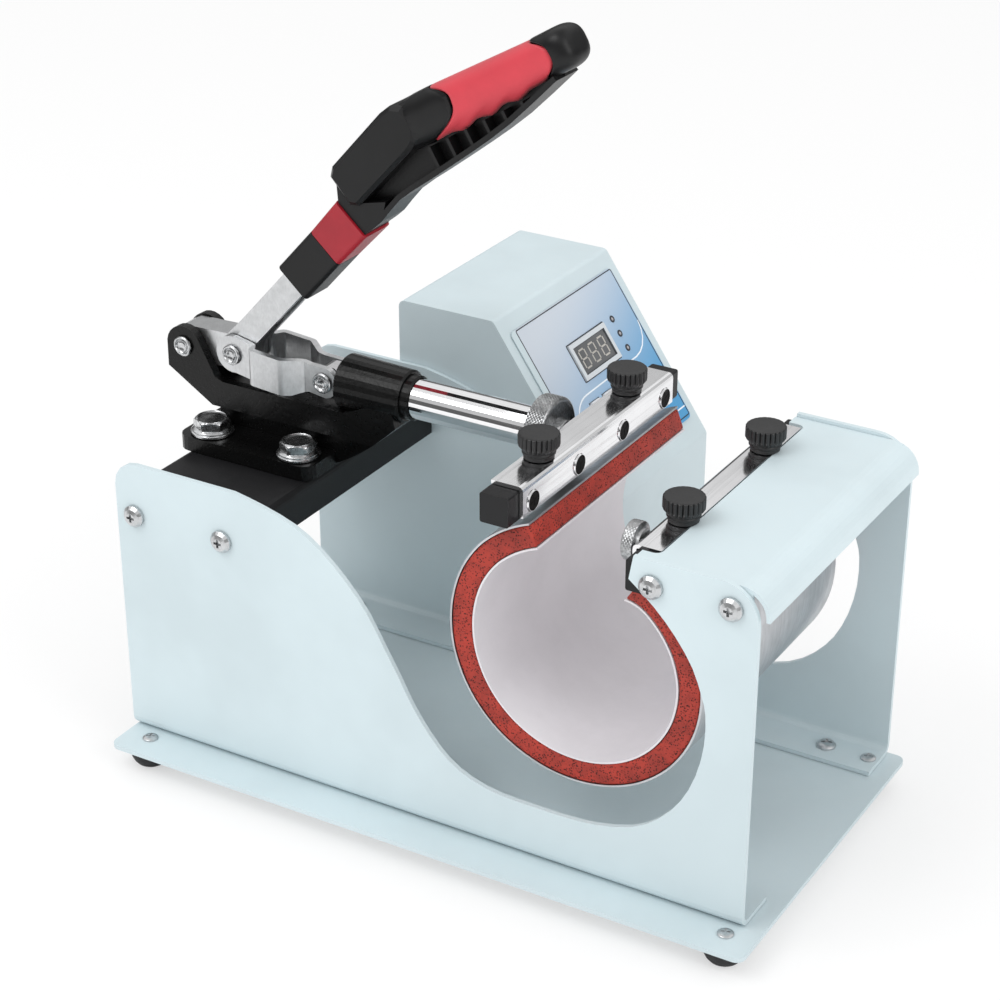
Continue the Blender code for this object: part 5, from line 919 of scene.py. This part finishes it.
class MUGPRESS_OT_panel(bpy.types.Operator):
    """Printed film, display, lamps and buttons"""
    bl_idname = "mugpress.panel"
    bl_label = "Control panel"

    def film(self, look):
        made, tree, shader = new_material("Printed film")
        place = add(tree, "ShaderNodeTexCoord")
        moved = add(tree, "ShaderNodeVectorMath", operation="SUBTRACT")
        moved.inputs[1].default_value = SLOPE_TOP
        along = add(tree, "ShaderNodeVectorMath", operation="DOT_PRODUCT")
        along.inputs[1].default_value = SLOPE_DOWN * 7.2 + Vector((0.0, 3.4, 0.0))
        ease = add(tree, "ShaderNodeMapRange", {"From Min": 0.16, "From Max": 0.86},
                   interpolation_type="SMOOTHSTEP")
        fine = effect(tree, grain_group, {"Scale": 1800.0, "Detail": 2.0})
        join(tree, place.outputs["Object"], moved.inputs[0])
        join(tree, moved.outputs["Vector"], along.inputs[0])
        join(tree, along.outputs["Value"], ease.inputs["Value"])
        print_colour = mixed(tree, ease.outputs["Result"], look.top, look.low)
        across = add(tree, "ShaderNodeVectorMath", operation="DOT_PRODUCT")
        across.inputs[1].default_value = (0.0, 1.0, 0.0)
        edge = add(tree, "ShaderNodeMath", operation="LESS_THAN")
        edge.inputs[1].default_value = 0.0096
        join(tree, moved.outputs["Vector"], across.inputs[0])
        join(tree, across.outputs["Value"], edge.inputs[0])
        colours = mixed(tree, edge.outputs[0], print_colour, settings("sheet_metal_finish").coat)
        join(tree, colours, shader.inputs["Base Color"])
        spread(tree, fine.outputs["Mask"], 0.26, 0.36, shader.inputs["Roughness"])
        bump(tree, shader, fine.outputs["Height"], 0.3, 0.00001)
        return made

    def window(self, look):
        """A pale frame round a grey pane, told apart by their place on the slope."""
        made, tree, shader = new_material("Display frame and pane")
        place = add(tree, "ShaderNodeTexCoord")
        moved = add(tree, "ShaderNodeVectorMath", operation="SUBTRACT")
        moved.inputs[1].default_value = on_slope(0.03655, 0.05385, 0.0)
        join(tree, place.outputs["Object"], moved.inputs[0])
        masks = []
        for way, reach in ((SLOPE_DOWN, 0.00675), (Vector((0.0, 1.0, 0.0)), 0.01435)):
            along = add(tree, "ShaderNodeVectorMath", operation="DOT_PRODUCT")
            along.inputs[1].default_value = way
            away = add(tree, "ShaderNodeMath", operation="ABSOLUTE")
            inside = add(tree, "ShaderNodeMath", operation="LESS_THAN")
            inside.inputs[1].default_value = reach
            join(tree, moved.outputs["Vector"], along.inputs[0])
            join(tree, along.outputs["Value"], away.inputs[0])
            join(tree, away.outputs[0], inside.inputs[0])
            masks.append(inside)
        both = add(tree, "ShaderNodeMath", operation="MULTIPLY")
        join(tree, masks[0].outputs[0], both.inputs[0])
        join(tree, masks[1].outputs[0], both.inputs[1])
        colours = mixed(tree, both.outputs[0], look.frame, drifting(tree, look.pane, 0.8, 60.0))
        join(tree, colours, shader.inputs["Base Color"])
        spread(tree, both.outputs[0], 0.40, 0.22, shader.inputs["Roughness"])
        fine = effect(tree, grain_group, {"Scale": 1500.0, "Detail": 2.0})
        bump(tree, shader, fine.outputs["Height"], 0.2, 0.00001)
        return made

    def ribbon(self, bm, points, width, lift):
        """A printed line along points given down and along the slope."""
        flat = [Vector(point) for point in points]
        rails = []
        for index, spot in enumerate(flat):
            way = (flat[min(index + 1, len(flat) - 1)] - flat[max(index - 1, 0)]).normalized()
            off = Vector((-way.y, way.x)) * (width / 2.0)
            rails.append((spot - off, spot + off))
        rungs = [bm.edges.new([bm.verts.new(on_slope(end.x, end.y, lift)) for end in pair]) for pair in rails]
        for first, second in zip(rungs, rungs[1:]):
            bmesh.ops.bridge_loops(bm, edges=[first, second])
        grown = bmesh.ops.extrude_face_region(bm, geom=bm.faces[:])
        top = [v for v in grown["geom"] if isinstance(v, bmesh.types.BMVert)]
        bmesh.ops.translate(bm, vec=SLOPE_OUT * 0.00006, verts=top)
        bmesh.ops.recalc_face_normals(bm, faces=bm.faces)

    def field_line(self):
        """The long curve above the buttons: up at the far edge, down at the near end, and back below."""
        points = [(0.0360, 0.0966), (0.0402, 0.0957), (0.0440, 0.0935), (0.0470, 0.0902), (0.0489, 0.0861),
                  (0.0497, 0.0815), (0.0498, 0.0760)]
        points += [(0.0498 + 0.0006 * k / 6.0, 0.0760 - 0.0430 * k / 6.0) for k in range(1, 7)]
        for turn in range(1, 9):
            angle = radians(90.0 * turn / 8.0)
            points.append((0.0504 + 0.0130 * (1.0 - cos(angle)), 0.0330 - 0.0150 * sin(angle)))
        points += [(0.0680, 0.0180), (0.0720, 0.0180)]
        for turn in range(1, 9):
            angle = radians(90.0 * turn / 8.0)
            points.append((0.0720 + 0.0100 * sin(angle), 0.0180 + 0.0100 * (1.0 - cos(angle))))
        points += [(0.0820, 0.0500), (0.0820, 0.0966)]
        return points

    def execute(self, context):
        look = settings("panel_print")
        dress(self.film(look), "panel_film")
        dress(self.window(look), "display_window")
        dress(moulded("Button cap", (0.70, 0.71, 0.73), 0.36, 1800.0, 0.00002), *numbered("panel_button"))
        ink = moulded("Dark print", look.line, 0.40, 2000.0, 0.00001)
        pale = moulded("Pale print", look.field, 0.40, 2000.0, 0.00001, 0.0, 0.95)
        lift = 0.00082
        bm = bmesh.new()
        line_frame(bm, 0.0875, 0.0778, 0.0010, look.width, 0.00006, slope_matrix(0.0477, 0.05335, lift))
        line_frame(bm, 0.0343, 0.0191, 0.0006, look.width, 0.00006, slope_matrix(0.03655, 0.05385, lift))
        line_frame(bm, 0.0292, 0.0140, 0.0003, look.width * 1.2, 0.00006,
                   slope_matrix(0.03655, 0.05385, 0.0010))
        finished("panel_outline", bm, ink, "frame", False)
        bm = bmesh.new()
        self.ribbon(bm, self.field_line(), 0.0007, lift)
        finished("panel_button_field", bm, pale, "frame", False)
        bm = bmesh.new()
        for k in range(3):
            turned(bm, ((-0.0002, 0.0009), (-0.0002, 0.0017), (0.0002, 0.0017), (0.0004, 0.0014),
                        (0.0003, 0.0009), (-0.0002, 0.0009)),
                   on_slope(0.0289 + 0.0075 * k, 0.0788, lift), SLOPE_OUT, 24)
        finished("panel_lamp_rings", bm, ink, "frame")
        bm = bmesh.new()
        for k in range(3):
            turned(bm, ((-0.0002, 0.0), (-0.0002, 0.0009), (0.0002, 0.0008), (0.0004, 0.0005),
                        (0.00045, 0.0)),
                   on_slope(0.0289 + 0.0075 * k, 0.0788, lift), SLOPE_OUT, 24)
        finished("panel_lamps", bm, moulded("Lamp lens", (0.46, 0.44, 0.45), 0.20, 900.0, 0.00001), "frame")
        self.digits(look)
        return {"FINISHED"}

    def digits(self, look):
        """Three blank seven-bar figures behind the window."""
        bm = bmesh.new()
        tall, wide, bar = 0.0088, 0.0048, 0.0010
        for k in range(3):
            side = 0.05385 + (k - 1) * 0.0086
            for across, up, upright in ((0, 1, False), (0, 0, False), (0, -1, False), (-1, 0.5, True),
                                        (1, 0.5, True), (-1, -0.5, True), (1, -0.5, True)):
                length = tall * 0.5 - bar * 0.9 if upright else wide - bar * 0.9
                size = (bar * 0.8, length, 0.00005) if upright else (length, bar * 0.8, 0.00005)
                place = slope_matrix(0.03655 - up * tall * 0.5, side + across * wide * 0.5, 0.00103)
                brick(bm, size, place)
        bars = moulded("Display bars", (0.52, 0.50, 0.46), 0.5, 900.0, 0.00001)
        finished("display_figures", bm, bars, "frame", False)


class MUGPRESS_OT_small_screws(bpy.types.Operator):
    """Screws of the base flanges, the clamp strips and the box cover"""
    bl_idname = "mugpress.small_screws"
    bl_label = "Small screws"

    def heads(self, name, places, direction, made, body, slot, radius, rise, dome):
        """Round heads with a cross recess."""
        look = settings("fasteners")
        bm = bmesh.new()
        for place in places:
            turned(bm, ((-0.0012, 0.0), (-0.0012, radius * 0.45), (0.0, radius * 0.45), (0.0, radius),
                        (rise * 0.45, radius), (rise * 0.82, radius * 0.80), (rise, radius * dome),
                        (rise, 0.0)),
                   place, direction, look.steps)
        piece = finished(name, bm, made, body)
        cross = bmesh.new()
        for place in places:
            seat = Matrix.Translation(Vector(place) + Vector(direction) * rise) @ facing(direction)
            plus(cross, radius * 0.58, radius * 0.12, rise * 0.45, seat @ Matrix.Rotation(0.35, 4, "Z"))
        cutter = finished(name + "_cut", cross, made, None, False)
        carve(piece, cutter)

    def execute(self, context):
        look = settings("fasteners")
        zinc = bpy.data.materials["Zinc plate"]
        dark = moulded("Dark screw", (0.004, 0.004, 0.004), 0.55, 1200.0, 0.00003, 0.0, 0.8, 0.12, 0.0)
        flange = [Vector((x, y, 0.0)) - LAYOUT + UP * 0.0022 for x in (0.026, 0.268) for y in (0.029, 0.151)]
        self.heads("flange_screws", flange, UP, zinc, "frame", "zinc", look.head, look.rise, 0.42)
        strip = [Vector((0.1878, 0.090 + side, 0.150)) - LAYOUT
                 for side in (-0.0545, -0.0183, 0.0183, 0.0545)]
        out = Vector((1.0, 0.0, 0.0))
        self.heads("strip_screws", strip, out, dark, "slider", "black_coat", 0.0041, 0.0002, 0.95)
        bm = bmesh.new()
        for place in strip:
            turned(bm, ((0.0, 0.0040), (0.0006, 0.0040), (0.0006, 0.0042), (0.0, 0.0045), (0.0, 0.0040)),
                   place, out, look.steps)
        finished("strip_rims", bm, bpy.data.materials["Stainless sheet"], "slider")
        under = [Vector((x, y, z)) for x in (-0.1283, 0.1467)
                 for y, z in ((-0.12135, 0.0120), (0.01765, 0.0143))]
        self.heads("foot_screws", under, UP, zinc, "frame", "zinc", 0.0033, 0.0013, 0.50)
        cover = [Vector((x, 0.13335, z))
                 for x, z in ((-0.0885, 0.0168), (0.0026, 0.0168), (-0.0885, 0.1625))]
        back = Vector((0.0, 1.0, 0.0))
        self.heads("cover_screws", cover, back, zinc, "frame", "zinc", 0.0036, 0.0019, 0.42)
        return {"FINISHED"}


class MUGPRESS_OT_studio(bpy.types.Operator):
    """Plain floor, soft lights and the camera"""
    bl_idname = "mugpress.studio"
    bl_label = "Studio"

    def lamp(self, name, place, aim, size, power):
        data = bpy.data.lights.new(name, "AREA")
        data.shape = "RECTANGLE"
        data.size, data.size_y = size
        data.energy = power
        held = bpy.data.objects.new(name, data)
        held.location = place
        held.rotation_euler = (Vector(aim) - Vector(place)).to_track_quat("-Z", "Y").to_euler()
        bpy.context.scene.collection.objects.link(held)

    def execute(self, context):
        look = settings("studio_setup")
        scene = context.scene
        bm = bmesh.new()
        bmesh.ops.create_grid(bm, x_segments=1, y_segments=1, size=6.0)
        made, tree, shader = new_material("Studio floor")
        shader.inputs["Base Color"].default_value = rgba(look.floor)
        shader.inputs["Roughness"].default_value = 0.9
        shader.inputs["Specular IOR Level"].default_value = 0.1
        glow = add(tree, "ShaderNodeEmission", {"Color": (1.0, 1.0, 1.0, 1.0), "Strength": 1.0})
        path = add(tree, "ShaderNodeLightPath")
        seen = add(tree, "ShaderNodeMath", operation="MULTIPLY")
        seen.inputs[1].default_value = 0.55
        mix = add(tree, "ShaderNodeMixShader")
        join(tree, path.outputs["Is Camera Ray"], seen.inputs[0])
        join(tree, seen.outputs[0], mix.inputs[0])
        join(tree, shader.outputs[0], mix.inputs[1])
        join(tree, glow.outputs[0], mix.inputs[2])
        join(tree, mix.outputs[0], tree.nodes["Material Output"].inputs["Surface"])
        floor = finished("studio_floor", bm, made, None, False)

        world = bpy.data.worlds.new("Studio surroundings")
        world.use_nodes = True
        tree = world.node_tree
        back = tree.nodes["Background"]
        path = add(tree, "ShaderNodeLightPath")
        either = add(tree, "ShaderNodeMath", operation="MAXIMUM")
        level = add(tree, "ShaderNodeMapRange", {"To Min": look.world, "To Max": 1.0})
        place = add(tree, "ShaderNodeTexCoord")
        split = add(tree, "ShaderNodeSeparateXYZ")
        ramp = add(tree, "ShaderNodeValToRGB")
        points = ((0.0, 0.16), (0.22, 0.10), (0.36, 0.40), (0.48, 1.0), (0.80, 1.0), (1.0, 0.62))
        ends = ramp.color_ramp.elements
        for index, (spot, bright) in enumerate(points):
            held = ends[index] if index < 2 else ends.new(spot)
            held.position = spot
            held.color = (bright, bright, bright, 1.0)
        join(tree, place.outputs["Generated"], split.inputs[0])
        join(tree, split.outputs["Z"], ramp.inputs["Fac"])
        lit = mixed(tree, path.outputs["Is Glossy Ray"], (look.even,) * 3, ramp.outputs["Color"])
        join(tree, mixed(tree, path.outputs["Is Camera Ray"], lit, WHITE), back.inputs["Color"])
        join(tree, path.outputs["Is Camera Ray"], either.inputs[0])
        join(tree, path.outputs["Is Transmission Ray"], either.inputs[1])
        join(tree, either.outputs[0], level.inputs["Value"])
        join(tree, level.outputs["Result"], back.inputs["Strength"])
        scene.world = world

        self.lamp("key_light", (-0.5, -1.0, 1.5), (0.0, 0.0, 0.1), (1.0, 0.8), look.key)
        self.lamp("side_light", (1.3, -0.4, 0.9), (0.0, 0.0, 0.1), (0.8, 0.8), look.fill)

        data = bpy.data.cameras.new("studio_camera")
        data.lens = look.lens
        data.sensor_width = 36.0
        data.shift_x = -0.0645
        data.shift_y = 0.0325
        data.clip_start = 0.01
        held = bpy.data.objects.new("studio_camera", data)
        right = Vector((0.8723, 0.4888, 0.0132)).normalized()
        back_way = Vector((0.428, -0.776, 0.463)).normalized()
        up = back_way.cross(right).normalized()
        held.matrix_world = Matrix((
            (right.x, up.x, back_way.x, 0.4553),
            (right.y, up.y, back_way.y, -0.81315),
            (right.z, up.z, back_way.z, 0.5787),
            (0.0, 0.0, 0.0, 1.0)))
        scene.collection.objects.link(held)
        scene.camera = held
        scene.view_settings.view_transform = "Standard"
        return {"FINISHED"}


class MUGPRESS_PT_looks(bpy.types.Panel):
    """Lists the sizes, colours and steps of the mug press"""
    bl_idname = "MUGPRESS_PT_looks"
    bl_label = "Mug Press"
    bl_space_type = "VIEW_3D"
    bl_region_type = "UI"
    bl_category = "Mug Press"

    def draw(self, context):
        layout = self.layout
        for name, group in GROUPS_OF_SETTINGS.items():
            box = layout.box()
            held = getattr(context.scene, name)
            for prop in group.__annotations__:
                box.prop(held, prop)
        for step in STEPS:
            layout.operator(step.bl_idname)


GROUPS_OF_SETTINGS = {
    "sheet_metal_finish": SheetMetalFinish,
    "metal_finish": MetalFinish,
    "plastic_finish": PlasticFinish,
    "turned_form": TurnedForm,
    "cover_form": CoverForm,
    "mat_form": MatForm,
    "panel_print": PanelPrint,
    "fasteners": Fasteners,
    "studio_setup": StudioSetup,
}
STEPS = (
    MUGPRESS_OT_studio,
    MUGPRESS_OT_sheet_metal,
    MUGPRESS_OT_clamp_metal,
    MUGPRESS_OT_mouldings,
    MUGPRESS_OT_turned_pieces,
    MUGPRESS_OT_grip_cover,
    MUGPRESS_OT_heater_mat,
    MUGPRESS_OT_panel,
    MUGPRESS_OT_small_screws,
)


def register():
    for group in GROUPS_OF_SETTINGS.values():
        bpy.utils.register_class(group)
    for step in STEPS:
        bpy.utils.register_class(step)
    bpy.utils.register_class(MUGPRESS_PT_looks)
    for name, group in GROUPS_OF_SETTINGS.items():
        setattr(bpy.types.Scene, name, PointerProperty(type=group))


def unregister():
    for name in GROUPS_OF_SETTINGS:
        delattr(bpy.types.Scene, name)
    bpy.utils.unregister_class(MUGPRESS_PT_looks)
    for step in reversed(STEPS):
        bpy.utils.unregister_class(step)
    for group in reversed(GROUPS_OF_SETTINGS.values()):
        bpy.utils.unregister_class(group)


def main():
    register()
    for step in STEPS:
        area, name = step.bl_idname.split(".")
        if getattr(getattr(bpy.ops, area), name)() != {"FINISHED"}:
            raise RuntimeError(step.bl_label + " did not finish")


if __name__ == "__main__":
    main()
